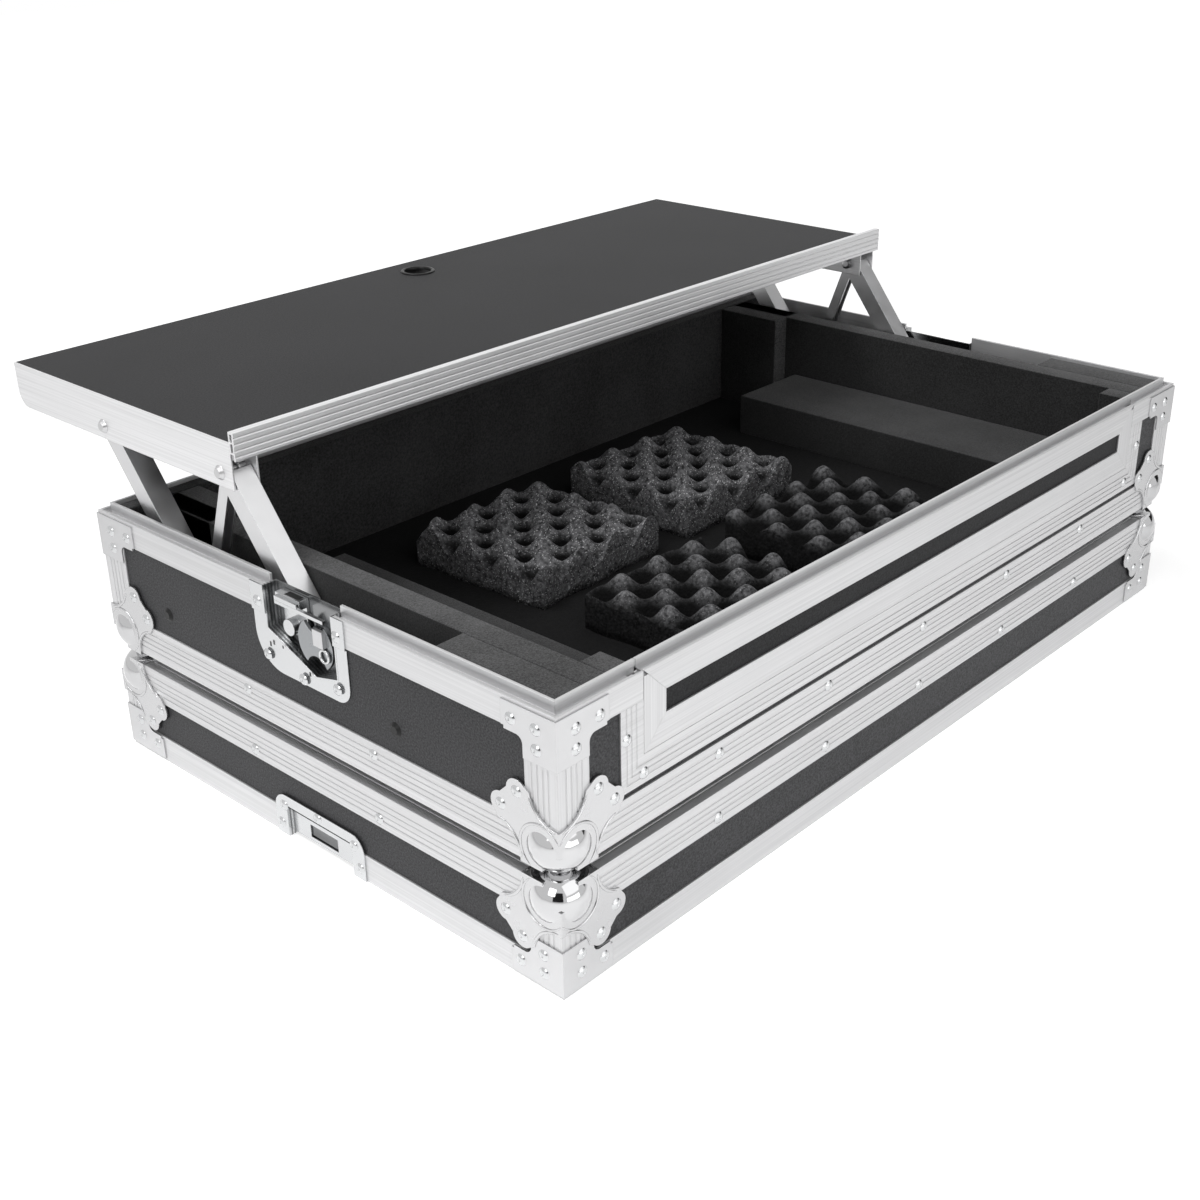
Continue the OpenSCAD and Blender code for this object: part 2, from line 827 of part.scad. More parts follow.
module front_frame() color(silver) placed() difference() {
  union() {
    left_and_right() difference() {
      translate([frame_x, 0, frame_z]) linear_extrude(base_top - rim_skirt - frame_z)
        mirror([1, -1]) frame_section();
      translate([frame_x, -over, frame_z - over]) rotate([0, -45, 0])
        translate([0, 0, -2 * bar_w]) cube([2 * bar_w, wall + 2 * over, 2 * bar_w]);
    }
    difference() {
      translate([frame_x, 0, frame_z]) along_x(case_w - 2 * frame_x) frame_section();
      left_and_right() translate([frame_x, -over, frame_z]) rotate([0, -45, 0])
        translate([-over, 0, 0]) cube([3 * bar_w, wall + 2 * over, 2 * bar_w]);
    }
  }
  frame_rivet_places() rivet_bore();
}

module base_ball_corners() color(steel) placed() as_base() four_corners() ball_corner();

module base_braces() color(silver) placed() translate([0, 0, base_top]) four_corners() brace();

module base_rivets() color(steel) placed() {
  as_base() {
    front_and_back() {
      front_edge_places(rivet_in) rivet(inner);
      left_and_right() {
        leaf_places() rivet(inner + leaf_t);
        translate([0, 0, base_h]) brace_places() rivet(inner + brace_t);
      }
    }
    left_and_right() {
      side_edge_places(rivet_in) rivet(inner);
      translate([0, 0, base_h]) latch_places() rivet(inner + dish_t);
      front_and_back() swapped() {
        leaf_places() rivet(inner + leaf_t);
        translate([0, 0, base_h]) brace_places() rivet(inner + brace_t);
      }
    }
    floor_edge_places(rivet_in) rivet(inner);
    four_corners() mirror([0, 1, -1]) leaf_places() rivet(inner + leaf_t);
  }
  frame_rivet_places() rivet(inner);
}

// Latch on the left side, in [back, up] from the middle of the rim edge

module latch_plate_outline() {
  back_r = latch_h * latch_back_r_share;
  front_r = latch_h * latch_front_r_share;
  difference() {
    translate([-latch_w / 2, -latch_h]) square([latch_w, latch_h]);
    translate([latch_w / 2 - back_r, -latch_h + back_r]) mirror([0, 1]) difference() {
      square([back_r + over, back_r + over]);
      circle(r = back_r);
    }
    translate([-latch_w / 2 + front_r, -latch_h + front_r]) mirror([1, 0]) mirror([0, 1]) difference() {
      square([front_r + over, front_r + over]);
      circle(r = front_r);
    }
  }
}

module latch_recess_outline(grow) {
  front = -latch_w * recess_front_share - grow;
  back = latch_w * recess_back_share + grow;
  polygon([
    [front, lip_h + over], [front, -latch_h * recess_front_low_share - grow / 2],
    [-latch_w * recess_low_shares[0] - grow / 4, -latch_h * recess_low_shares[1] - grow],
    [back, -latch_h * recess_back_low_share - grow / 2], [back, lip_h + over]
  ]);
}

module latch_hole() {
  translate([-over - dish_t, case_d / 2, 0])
    side_plate(dish_depth + 2 * over + dish_t) latch_recess_outline(dish_t + fit);
}

module latch_places() {
  for (p = latch_rivet_shares)
    translate([-dish_t, case_d / 2 + p[0] * latch_w, -p[1] * latch_h]) rotate([0, 90, 0]) children();
}

module latch_dish() {
  step_z = -rim_skirt - fit;
  difference() {
    translate([0, case_d / 2, 0]) {
      difference() {
        translate([-dish_t, 0, 0]) side_plate(dish_t + skin) difference() {
          latch_plate_outline();
          latch_recess_outline(0);
        }
        translate([-dish_t - over, -latch_w, -2 * latch_h])
          cube([over + skin, 2 * latch_w, 2 * latch_h + step_z - dish_t]);
        translate([0, -latch_w, step_z]) cube([skin + over, 2 * latch_w, latch_h]);
      }
      difference() {
        side_plate(dish_depth) intersection() {
          latch_recess_outline(dish_t);
          translate([-latch_w, -2 * latch_h]) square([2 * latch_w, 2 * latch_h]);
        }
        translate([-over, 0, 0]) side_plate(dish_depth + over - dish_t) latch_recess_outline(0);
      }
    }
    latch_places() rivet_bore();
  }
}

module latch_dishes() color(steel) placed() translate([0, 0, base_top]) left_and_right() latch_dish();

key_y = case_d / 2 + key_place_shares[0] * latch_w;
key_z = base_top - key_place_shares[1] * latch_h;
key_floor = dish_depth - dish_t - fit;

// Twist key: a spindle with a cam disc on the dish floor and a two-winged plate over it
module latch_key() {
  translate([0, key_y, key_z]) rotate([0, 90, 0]) {
    translate([0, 0, key_floor - key_t]) cylinder(h = key_t, r = key_r * 0.66);
    translate([0, 0, key_t]) cylinder(h = key_floor - key_t, r = key_r * 0.28);
    translate([0, 0, key_t]) linear_extrude(key_t) {
      difference() {
        circle(r = key_r);
        for (m = [0, 1]) mirror([m, 0]) translate([key_r * 1.1, 0]) circle(r = key_r * 0.62);
      }
    }
  }
}

// Hook plate beside the key, with its roller and the claw that reaches over the rim edge
module latch_hook() {
  left = key_y + key_r * 0.66 + 2 * over;
  hook_w = latch_w * 0.26;
  low_edge = key_z - key_r * 0.22;
  roller_z = key_z + key_r * 0.2;
  claw_h = latch_h * 0.1;
  claw_z = base_top - claw_h - over * 3;
  translate([key_floor - key_t, left, low_edge]) cube([key_t, hook_w, claw_z + claw_h - low_edge]);
  translate([0, left + hook_w * 0.55, roller_z]) rotate([0, 90, 0]) translate([0, 0, key_t])
    cylinder(h = key_floor - 2 * key_t + over / 2, r = hook_w * 0.23);
  translate([key_t, left, claw_z]) cube([key_floor - key_t, hook_w, claw_h]);
}

module latch_key_left() color(steel) placed() latch_key();
module latch_key_right() color(steel) placed() translate([case_w, 0, 0]) mirror([1, 0, 0]) latch_key();
module latch_hook_left() color(steel) placed() latch_hook();
module latch_hook_right() color(steel) placed() translate([case_w, 0, 0]) mirror([1, 0, 0]) latch_hook();

// Pivot strips inside the side panels, with the studs that carry the arms

strip_y = arm_front - strip_end;
strip_len = strip_end + arm_space + strip_over;

module panel_bolt_places() {
  for (y = [strip_y + strip_w * 0.72, strip_y + strip_len - strip_w * 0.72])
    translate([skin, y, low_z]) rotate([0, 90, 0]) children();
}

module bolt_bore() {
  translate([0, 0, -wall]) cylinder(h = 2 * wall + rail_w, d = bolt_d + 2 * bore_gap, $fn = 24);
}

module pivot_strips() color(silver) placed() left_and_right() difference() {
  translate([inner, strip_y, low_z - strip_w / 2]) cube([strip_t, strip_len, strip_w]);
  panel_bolt_places() bolt_bore();
}

// A stud on the strip: shoulder, pivot and nut. The far side carries its arms at the same
// distance from the left, so its shoulder and nut stand at other places along the stud.
module stud(shoulder_len, nut_at) {
  rotate([0, 90, 0]) {
    cylinder(h = shoulder_len, d = shoulder_d);
    cylinder(h = nut_at + nut_t, d = stud_d);
    translate([0, 0, nut_at]) cylinder(h = nut_t, d = nut_d, $fn = 6);
  }
}

module pivot_studs() color(steel) placed() {
  face = inner + strip_t;
  shoulder_left = arm_x - fit - face;
  shoulder_right = case_w - face - (arm_x + arm_shift + arm_flange + fit);
  nut_front = arm_x + arm_t + fit - face;
  nut_rear = prop_x + prop_depth + fit - face;
  nut_right = case_w - face - (arm_x + arm_shift) + fit;
  translate([face, arm_front, low_z]) stud(shoulder_left, nut_front);
  translate([face, arm_front + arm_space, low_z]) stud(shoulder_left, nut_rear);
  for (y = [arm_front, arm_front + arm_space])
    translate([case_w - face, y, low_z]) mirror([1, 0, 0]) difference() {
      stud(shoulder_right, nut_right);
      translate([nut_right + nut_t * 0.65, -nut_d, -nut_d]) cube([nut_t, 2 * nut_d, 2 * nut_d]);
    }
}

module panel_bolts() color(black_steel) placed() left_and_right() panel_bolt_places() {
  rotate_extrude()
    polygon([
      [0, -rivet_h], [bolt_d * 0.55, -rivet_h], [bolt_d, 0], [bolt_d / 2, 0],
      [bolt_d / 2, panel_t + strip_t], [bolt_d, panel_t + strip_t],
      [bolt_d, panel_t + strip_t + bolt_d / 2], [0, panel_t + strip_t + bolt_d / 2]
    ]);
}

// Foam interior

rear_foam_y = case_d - rear_foam_in;
partition_x = wall + slot_w;

module floor_lining() color(foam) placed()
  translate([wall + fit, wall + fit, floor_z])
    cube([case_w - 2 * (wall + fit), case_d - 2 * (wall + fit), lining_t]);

module rear_foam() color(foam) placed()
  translate([wall + fit, rear_foam_y, lining_z])
    cube([case_w - 2 * (wall + fit), rear_foam_in - wall - fit, foam_top - lining_z]);

module partitions() color(foam) placed() left_and_right() {
  translate([partition_x, wall + fit, lining_z])
    cube([partition_t, rear_foam_y - wall - fit, foam_top - lining_z]);
  translate([partition_x, rear_foam_y - thick_len, lining_z])
    cube([partition_t + thick_t, thick_len, foam_top - lining_z]);
}

module slot_blocks() color(foam) placed() left_and_right()
  translate([wall + fit, wall + fit, lining_z])
    cube([slot_w - fit, block_end - wall - fit, foam_top - lining_z]);

module corner_blocks() color(foam) placed() left_and_right()
  translate([partition_x + partition_t, wall + fit, lining_z])
    cube([thick_t, corner_block_d, foam_top - lining_z]);

// Bolsters, notched round the corner blocks
module bolsters() color(foam) placed() left_and_right()
  translate([partition_x + partition_t, wall + fit, lining_z]) difference() {
    cube([bolster_w, bolster_end - wall - fit, bolster_h]);
    translate([-over, -over, -over])
      cube([thick_t + over, corner_block_d + over, bolster_h + 2 * over]);
  }

// Egg-crate pad: product of two cosine waves, peaks and valleys in a checkered order
module egg_pad(place) {
  nu = round(pad_w / egg_wave * wave_steps);
  nv = round(pad_d / egg_wave * wave_steps);
  function turn_x(i) = 180 * (i / nu * pad_w / egg_wave - place[3]);
  function turn_y(j) = 180 * ((1 - j / nv) * pad_d / egg_wave - place[4]);
  function swell(i, j) = (1 + cos(turn_x(i)) * cos(turn_y(j))) / 2;
  function height(i, j) = pad_low + (pad_high - pad_low) * pow(swell(i, j), swell_power);
  function index(i, j) = i * (nv + 1) + j;
  function under(i, j) = (nu + 1) * (nv + 1) + (
    j == 0 ? i : i == nu ? nu + j : j == nv ? nu + nv + nu - i : 2 * nu + nv + nv - j);
  ring = concat([for (i = [0 : nu - 1]) [i, 0]], [for (j = [0 : nv - 1]) [nu, j]],
    [for (i = [nu : -1 : 1]) [i, nv]], [for (j = [nv : -1 : 1]) [0, j]]);
  count = len(ring);
  first = (nu + 1) * (nv + 1);
  top = [for (i = [0 : nu]) for (j = [0 : nv])
    [(i / nu - 1 / 2) * pad_w, (j / nv - 1 / 2) * pad_d, height(i, j)]];
  low = [for (p = ring) [(p[0] / nu - 1 / 2) * pad_w, (p[1] / nv - 1 / 2) * pad_d, 0]];
  cover = [for (i = [0 : nu - 1]) for (j = [0 : nv - 1]) each [
    [index(i, j), index(i + 1, j + 1), index(i + 1, j)],
    [index(i, j), index(i, j + 1), index(i + 1, j + 1)]]];
  sides = [for (k = [0 : count - 1]) let (n = (k + 1) % count, a = ring[k], b = ring[n]) each [
    [index(a[0], a[1]), index(b[0], b[1]), first + n],
    [index(a[0], a[1]), first + n, first + k]]];
  bottom = [for (k = [0 : count - 1]) [first + k, first + (k + 1) % count, first + count]];
  translate([place[0] * case_w, place[1] * case_d, lining_z]) rotate([0, 0, place[2]])
    polyhedron(points = concat(top, low, [[0, 0, 0]]), faces = concat(cover, sides, bottom));
}

module egg_pad_1() color(foam) placed() egg_pad(pad_place_shares[0]);
module egg_pad_2() color(foam) placed() egg_pad(pad_place_shares[1]);
module egg_pad_3() color(foam) placed() egg_pad(pad_place_shares[2]);
module egg_pad_4() color(foam) placed() egg_pad(pad_place_shares[3]);

// Lift-out front panel: four mitred bars round a board, with tongues at the sides and below

// Section in [in from the front, away from the board's edge]: slot for the board at one side,
// tongue at the other
module panel_bar_section() {
  difference() {
    square([wall, bar_w - fit]);
    translate([skin, -over]) square([panel_t, board_bite + over]);
  }
  translate([skin + tongue_gap, bar_w - fit - over]) square([tongue_t, tongue_h + over]);
}

panel_top = base_top - bar_w;

module lift_panel_bottom_bar() color(silver) placed() difference() {
  translate([opening_in + fit, 0, opening_z + bar_w]) mirror([0, 0, 1])
    along_x(case_w - 2 * (opening_in + fit)) panel_bar_section();
  left_and_right() translate([opening_in + fit, -over, opening_z + fit]) rotate([0, -45, 0])
    translate([-2 * bar_w, 0, 0]) cube([5 * bar_w, wall + 2 * over, 3 * bar_w]);
}

module lift_panel_side_bars() color(silver) placed() left_and_right() difference() {
  union() {
    translate([opening_in + bar_w, 0, opening_z - tongue_h + fit]) mirror([1, 0, 0])
      linear_extrude(opening_h + tongue_h - rim_web - fit) mirror([1, -1]) panel_bar_section();
  }
  translate([opening_in + fit, -over, opening_z + fit]) rotate([0, -45, 0])
    translate([-2 * bar_w, 0, -3 * bar_w]) cube([5 * bar_w, wall + 2 * over, 3 * bar_w]);
  translate([opening_in + fit, -over, base_top]) rotate([0, 45, 0])
    translate([0, 0, 0]) cube([3 * bar_w, wall + 2 * over, 3 * bar_w]);
}

module lift_panel_top_bar() color(silver) placed() difference() {
  translate([opening_in + fit, 0, base_top]) along_x(case_w - 2 * (opening_in + fit)) {
    base_rim_section();
    translate([0, -bar_w]) difference() {
      square([wall, bar_w - rim_web]);
      translate([skin, -over]) square([panel_t, board_bite + over]);
    }
  }
  left_and_right() translate([opening_in + fit, -over, base_top]) rotate([0, 45, 0])
    translate([0, 0, -3 * bar_w]) cube([3 * bar_w, wall + 2 * over, 3 * bar_w]);
}

module lift_panel_board() color(laminate) placed()
  translate([opening_in + bar_w - board_bite, skin, opening_z + bar_w - board_bite])
    cube([case_w - 2 * (opening_in + bar_w - board_bite), panel_t, opening_h - 2 * (bar_w - board_bite)]);

// Laptop shelf

module shelf_board() color(laminate) placed() difference() {
  translate([shelf_in + rail_t, rail_y, shelf_top - board_t])
    cube([case_w - 2 * (shelf_in + rail_t), shelf_back - rail_y, board_t]);
  translate([case_w / 2 + cable_d / 4, shelf_back - cable_in, shelf_top - board_t - over])
    cylinder(h = board_t + 2 * over, d = cable_d);
}

// Side wall of a rail in [back, up] from its lower front corner, its lower back corner round
module rail_wall_outline(height) {
  length = shelf_back - rail_y;
  difference() {
    square([length, height]);
    translate([length - rail_r, rail_r]) mirror([0, 1]) difference() {
      square([rail_r + over, rail_r + over]);
      circle(r = rail_r);
    }
  }
}

module upper_pivot_places() {
  for (y = [high_y, high_y + arm_space])
    translate([shelf_in, y, high_z]) rotate([0, 90, 0]) children();
}

module shelf_side_rails() color(silver) placed() left_and_right() difference() {
  translate([shelf_in, rail_y, shelf_top - rail_h]) {
    side_plate(rail_t) rail_wall_outline(rail_h);
    translate([rail_w - rail_t, 0, 0]) side_plate(rail_t) rail_wall_outline(rail_h - board_t);
    translate([0, 0, rail_h - board_t - rail_t]) cube([rail_w, shelf_back - rail_y, rail_t]);
  }
  upper_pivot_places() bolt_bore();
}

// Ribbed front rail: a hollow lip over the board with a leg under it
module shelf_front_rail() color(silver) placed() {
  top = front_rail_rise;
  low = front_rail_rise - front_rail_h;
  leg = 2 * front_rail_d;
  translate([shelf_in, shelf_y, shelf_top]) along_x(case_w - 2 * shelf_in) difference() {
    union() {
      translate([0, low]) square([rail_t, front_rail_h]);
      square([front_rail_d, top]);
      translate([0, -board_t - rail_t]) square([front_rail_d, rail_t]);
      translate([front_rail_d - rail_t, -board_t - rail_t]) square([rail_t, board_t + rail_t]);
    }
    translate([rail_t, rail_t]) square([front_rail_d - 2 * rail_t, top - 2 * rail_t]);
    for (i = [1 : rib_n]) translate([-over, low + i * rib_pitch - rib_pitch / 2])
      square([over + rib_depth, rib_w]);
  }
}

module shelf_bolts() color(steel) placed() left_and_right() upper_pivot_places() {
  rotate_extrude()
    polygon([
      [0, -bolt_head_t], [bolt_d * 0.6, -bolt_head_t], [bolt_d, 0], [bolt_d / 2, 0],
      [bolt_d / 2, rail_w], [bolt_d * 0.9, rail_w], [bolt_d * 0.9, rail_w + nut_t * 0.8],
      [bolt_d / 2, rail_w + nut_t], [0, rail_w + nut_t]
    ]);
}

// Arms: angle bars between the studs and the shelf

// Drawn from the lower pivot along local X, the flange on the upper edge
module arm(flange_start) {
  difference() {
    union() {
      linear_extrude(arm_t) {
        translate([0, -arm_w / 2]) square([arm_len, arm_w]);
        circle(d = arm_w);
        translate([arm_len, 0]) circle(d = arm_w);
      }
      translate([flange_start, arm_w / 2 - arm_t, 0])
        cube([arm_len - flange_start - arm_w * 0.2, arm_t, arm_flange]);
    }
    translate([0, 0, -over]) cylinder(h = arm_t + 2 * over, d = stud_d + 2 * fit);
    translate([arm_len, 0, -over]) cylinder(h = arm_t + 2 * over, d = bolt_d + 2 * fit);
  }
}

module arm_at(side, back, flange_share) {
  translate([arm_x + side * arm_shift, arm_front + back * arm_space, low_z])
    rotate([90, 0, 90]) rotate([0, 0, arm_lean]) arm(arm_len * flange_share);
}

module front_arm_left() color(silver) placed() arm_at(0, 0, front_flange_share);
module front_arm_right() color(silver) placed() arm_at(1, 0, front_flange_share);
module rear_arm_left() color(silver) placed() arm_at(0, 1, rear_flange_share);
module rear_arm_right() color(silver) placed() arm_at(1, 1, rear_flange_share);

// Props: channels that hang from the front upper pivots and stand on the rear studs

// Drawn from the upper pivot along local X, ending in a notch that sits on the stud
module prop() {
  seat = prop_len - stud_d * 0.2;
  difference() {
    linear_extrude(prop_depth) {
      translate([0, -prop_w / 2]) square([seat, prop_w]);
      circle(d = prop_w);
    }
    translate([-prop_w, -prop_w / 2 - over, rail_t])
      cube([prop_len + 2 * prop_w, prop_w + over - rail_t, prop_depth - 2 * rail_t]);
    translate([0, 0, -over]) cylinder(h = prop_depth + 2 * over, d = bolt_d + 2 * fit);
    translate([prop_len, 0, -over]) cylinder(h = prop_depth + 2 * over, d = stud_d + 2 * fit);
  }
}

module prop_at(side) {
  translate([prop_x + side * arm_shift, high_y, high_z])
    rotate([90, 0, 90]) rotate([0, 0, prop_turn]) prop();
}

module prop_left() color(silver) placed() prop_at(0);
module prop_right() color(silver) placed() prop_at(1);

lid_top_panel();
lid_long_panels();
lid_side_panels();
lid_long_edges();
lid_short_edges();
lid_corner_posts();
lid_long_rims();
lid_side_rims();
lid_ball_corners();
lid_braces();
lid_keepers();
lid_rivets();
lid_foam();
base_floor();
base_back_panel();
base_side_panels();
base_front_board();
base_long_edges();
base_short_edges();
base_corner_posts();
base_back_rim();
base_side_rims();
base_front_rims();
front_frame();
base_ball_corners();
base_braces();
base_rivets();
latch_dishes();
latch_key_left();
latch_key_right();
latch_hook_left();
latch_hook_right();
pivot_strips();
pivot_studs();
panel_bolts();
floor_lining();
rear_foam();
partitions();
slot_blocks();
corner_blocks();
bolsters();
egg_pad_1();
egg_pad_2();
egg_pad_3();
egg_pad_4();
lift_panel_board();
lift_panel_top_bar();
lift_panel_side_bars();
lift_panel_bottom_bar();
shelf_board();
shelf_side_rails();
shelf_front_rail();
shelf_bolts();
front_arm_left();
front_arm_right();
rear_arm_left();
rear_arm_right();
prop_left();
prop_right();
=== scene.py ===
import math

import bmesh
import bpy
import numpy as np
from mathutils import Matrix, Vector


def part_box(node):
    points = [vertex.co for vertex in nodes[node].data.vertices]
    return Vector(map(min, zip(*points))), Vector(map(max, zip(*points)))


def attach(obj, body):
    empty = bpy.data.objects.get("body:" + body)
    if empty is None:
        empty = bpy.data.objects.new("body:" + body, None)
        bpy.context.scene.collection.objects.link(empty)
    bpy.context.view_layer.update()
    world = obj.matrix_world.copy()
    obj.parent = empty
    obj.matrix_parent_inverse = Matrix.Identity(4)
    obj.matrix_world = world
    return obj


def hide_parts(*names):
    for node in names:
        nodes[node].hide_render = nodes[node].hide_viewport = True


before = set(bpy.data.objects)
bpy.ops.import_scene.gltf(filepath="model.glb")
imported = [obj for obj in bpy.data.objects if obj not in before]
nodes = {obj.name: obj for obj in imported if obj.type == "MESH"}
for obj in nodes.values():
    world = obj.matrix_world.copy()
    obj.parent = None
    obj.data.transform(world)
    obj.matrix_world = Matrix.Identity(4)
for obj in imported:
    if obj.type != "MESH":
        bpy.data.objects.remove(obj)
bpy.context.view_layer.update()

# Camera and studio. The camera stands where the photograph was taken, to the front left and
# above. A white floor and white surroundings show to the camera and in the metal.
MM = 0.001
CAMERA_PLACE = (-1.0576, -0.9475, 0.7284)
CAMERA_TURN = (64.247, 0.916, -47.334)
CAMERA_LENS = 48.594
CAMERA_SENSOR = 36.0


def linear(code):
    """Colour of an sRGB hex code such as C8CACC, as linear red, green, blue and alpha."""
    parts = np.array([int(code[i:i + 2], 16) for i in (0, 2, 4)]) / 255
    low = parts / 12.92
    high = ((parts + 0.055) / 1.055) ** 2.4
    return (*np.where(parts <= 0.04045, low, high), 1.0)


def add(tree, kind, inputs=(), settings=(), **links):
    """Add a shader node: inputs are its socket values by name or number, settings its
    properties, and links the sockets that feed its inputs, with _ for a space in a name."""
    made = tree.nodes.new("ShaderNode" + kind)
    for name, value in dict(settings).items():
        setattr(made, name, value)
    for name, value in dict(inputs).items():
        made.inputs[name].default_value = value
    for name, source in links.items():
        key = int(name[1:]) if name[0] == "n" and name[1:].isdigit() else name.replace("_", " ")
        tree.links.new(source, made.inputs[key])
    return made


def new_tree(owner):
    """Empty node tree of a material or world."""
    owner.use_nodes = True
    owner.node_tree.nodes.clear()
    return owner.node_tree


def seen_plainly(tree):
    """1 for camera, glossy and transmission rays, 0 for the rays that light the object."""
    path = add(tree, "LightPath")
    first = add(tree, "Math", settings={"operation": "MAXIMUM"},
                n0=path.outputs["Is Camera Ray"], n1=path.outputs["Is Glossy Ray"])
    both = add(tree, "Math", settings={"operation": "MAXIMUM"},
               n0=first.outputs[0], n1=path.outputs["Is Transmission Ray"])
    return both.outputs[0]


camera_data = bpy.data.cameras.new("photo_camera")
camera_data.lens = CAMERA_LENS
camera_data.sensor_width = CAMERA_SENSOR
camera = bpy.data.objects.new("photo_camera", camera_data)
camera.location = CAMERA_PLACE
camera.rotation_euler = [math.radians(a) for a in CAMERA_TURN]
bpy.context.scene.collection.objects.link(camera)
bpy.context.scene.camera = camera
bpy.context.scene.view_settings.view_transform = "Standard"

world = bpy.data.worlds.new("studio")
bpy.context.scene.world = world
tree = new_tree(world)
ambient = add(tree, "Background", {"Color": linear("FFFFFF"), "Strength": 0.25})
white = add(tree, "Background", {"Color": linear("FFFFFF"), "Strength": 1.0})
mix = add(tree, "MixShader", n0=seen_plainly(tree), n1=ambient.outputs[0], n2=white.outputs[0])
add(tree, "OutputWorld", Surface=mix.outputs[0])

FLOOR_HALF = 6.0
FLOOR_CORNERS = ((-FLOOR_HALF, -FLOOR_HALF, 0), (FLOOR_HALF, -FLOOR_HALF, 0),
                 (FLOOR_HALF, FLOOR_HALF, 0), (-FLOOR_HALF, FLOOR_HALF, 0))
# Point before the front left corner, where the metal sees the floor brightest
GLOW_MIDDLE = (-0.5, -0.7, 0)
floor_mesh = bpy.data.meshes.new("studio_floor")
floor_mesh.from_pydata(FLOOR_CORNERS, [], [(0, 1, 2, 3)])
floor = bpy.data.objects.new("studio_floor", floor_mesh)
bpy.context.scene.collection.objects.link(floor)
floor_paint = bpy.data.materials.new("white_studio_floor")
tree = new_tree(floor_paint)
matt = add(tree, "BsdfDiffuse", {"Color": linear("F4F4F4")})
spread = add(tree, "VectorMath", settings={"operation": "LENGTH"},
             n0=add(tree, "TexCoord").outputs["Object"])
far = add(tree, "MapRange", {"From Min": 0.7, "From Max": 2.6, "To Min": 0.62, "To Max": 0.86},
          Value=spread.outputs["Value"])
# The camera sees the far ramp, which keeps the floor white, and the metal the beside ramp
reach = add(tree, "VectorMath", {1: GLOW_MIDDLE}, {"operation": "DISTANCE"},
            n0=add(tree, "TexCoord").outputs["Object"])
beside = add(tree, "MapRange", {"From Min": 0.1, "From Max": 1.5, "To Min": 0.88, "To Max": 0.45},
             Value=reach.outputs["Value"])
strength = add(tree, "MapRange", Value=add(tree, "LightPath").outputs["Is Glossy Ray"],
               To_Min=far.outputs[0], To_Max=beside.outputs[0])
glow = add(tree, "Emission", {"Color": linear("FFFFFF")}, Strength=strength.outputs[0])
lift = add(tree, "AddShader", n0=matt.outputs[0], n1=glow.outputs[0])
mix = add(tree, "MixShader", n0=seen_plainly(tree), n1=matt.outputs[0], n2=lift.outputs[0])
add(tree, "OutputMaterial", Surface=mix.outputs[0])
floor_mesh.materials.append(floor_paint)

# Grey cards behind the camera and to the right, which draw grey crescents in the polished
# balls. Each is given by the two ends of its foot.
CARDS = {"camera_card": ((-2.9, -1.0), (-1.9, -2.3)),
         "right_card": ((2.5, -2.2), (2.8, 0.2))}
CARD_HEIGHTS = (0.15, 1.7)
for name, foot in CARDS.items():
    card_mesh = bpy.data.meshes.new(name)
    corners = [(*foot[i], CARD_HEIGHTS[j]) for i, j in ((0, 0), (1, 0), (1, 1), (0, 1))]
    card_mesh.from_pydata(corners, [], [(0, 1, 2, 3)])
    card = bpy.data.objects.new(name, card_mesh)
    bpy.context.scene.collection.objects.link(card)
    card.visible_camera = False
    card_paint = bpy.data.materials.new(name + "_paint")
    tree = new_tree(card_paint)
    matt = add(tree, "BsdfDiffuse", {"Color": linear("3A3A3A")})
    add(tree, "OutputMaterial", Surface=matt.outputs[0])
    card_mesh.materials.append(card_paint)

# Softboxes: name, place, aim, width and height in metres, and power in watts
SOFTBOXES = (("key_light", (-0.1, -2.3, 1.9), (0, 0, 0.1), 2.8, 2.0, 15.5),
             ("side_light", (-2.6, -0.6, 1.5), (0, 0, 0.1), 1.2, 1.2, 15),
             ("front_fill", (-0.3, -2.7, 0.4), (0, 0, 0.15), 2.2, 0.6, 9),
             ("top_light", (-0.9, 0.5, 2.5), (0, -0.05, 0.1), 1.1, 0.9, 26))
for name, place, aim, width, height, power in SOFTBOXES:
    lamp = bpy.data.lights.new(name, "AREA")
    lamp.shape = "RECTANGLE"
    lamp.size = width
    lamp.size_y = height
    lamp.energy = power
    holder = bpy.data.objects.new(name, lamp)
    holder.location = place
    toward = np.array(aim) - np.array(place)
    flat = math.hypot(toward[0], toward[1])
    holder.rotation_euler = (math.atan2(flat, -toward[2]), 0, math.atan2(-toward[0], toward[1]))
    bpy.context.scene.collection.objects.link(holder)


# Laminated panels. 7 mm birch ply faced with black phenolic film, its fine pebble pressed in;
# the shelf and the lift-out panel take a darker copy of the same film, a painted shade. The
# pebble breaks up the gloss. It is drawn at 1.5 mm, coarser than the real 0.6 mm, so that it shows.
LAMINATE_GRAIN = 1.5 * MM
LAMINATE_DEPTH = 0.25 * MM
LAMINATE_DARK = "303031"
LAMINATE_LIGHT = "575759"
# Darker copy of the film for the shelf and the lift-out panel: painted shade
SHELF_SHADED_DARK = "0E0E0F"
SHELF_SHADED_LIGHT = "2A2A2C"


def finish_material(name, roughness, metallic=0.0, specular=0.5):
    """Empty material with a principled shader and its output, and Object coordinates."""
    made = bpy.data.materials.new(name)
    tree = new_tree(made)
    shader = add(tree, "BsdfPrincipled", {"Roughness": roughness, "Metallic": metallic,
                                          "Specular IOR Level": specular})
    add(tree, "OutputMaterial", Surface=shader.outputs[0])
    place = add(tree, "TexCoord").outputs["Object"]
    return made, tree, shader, place


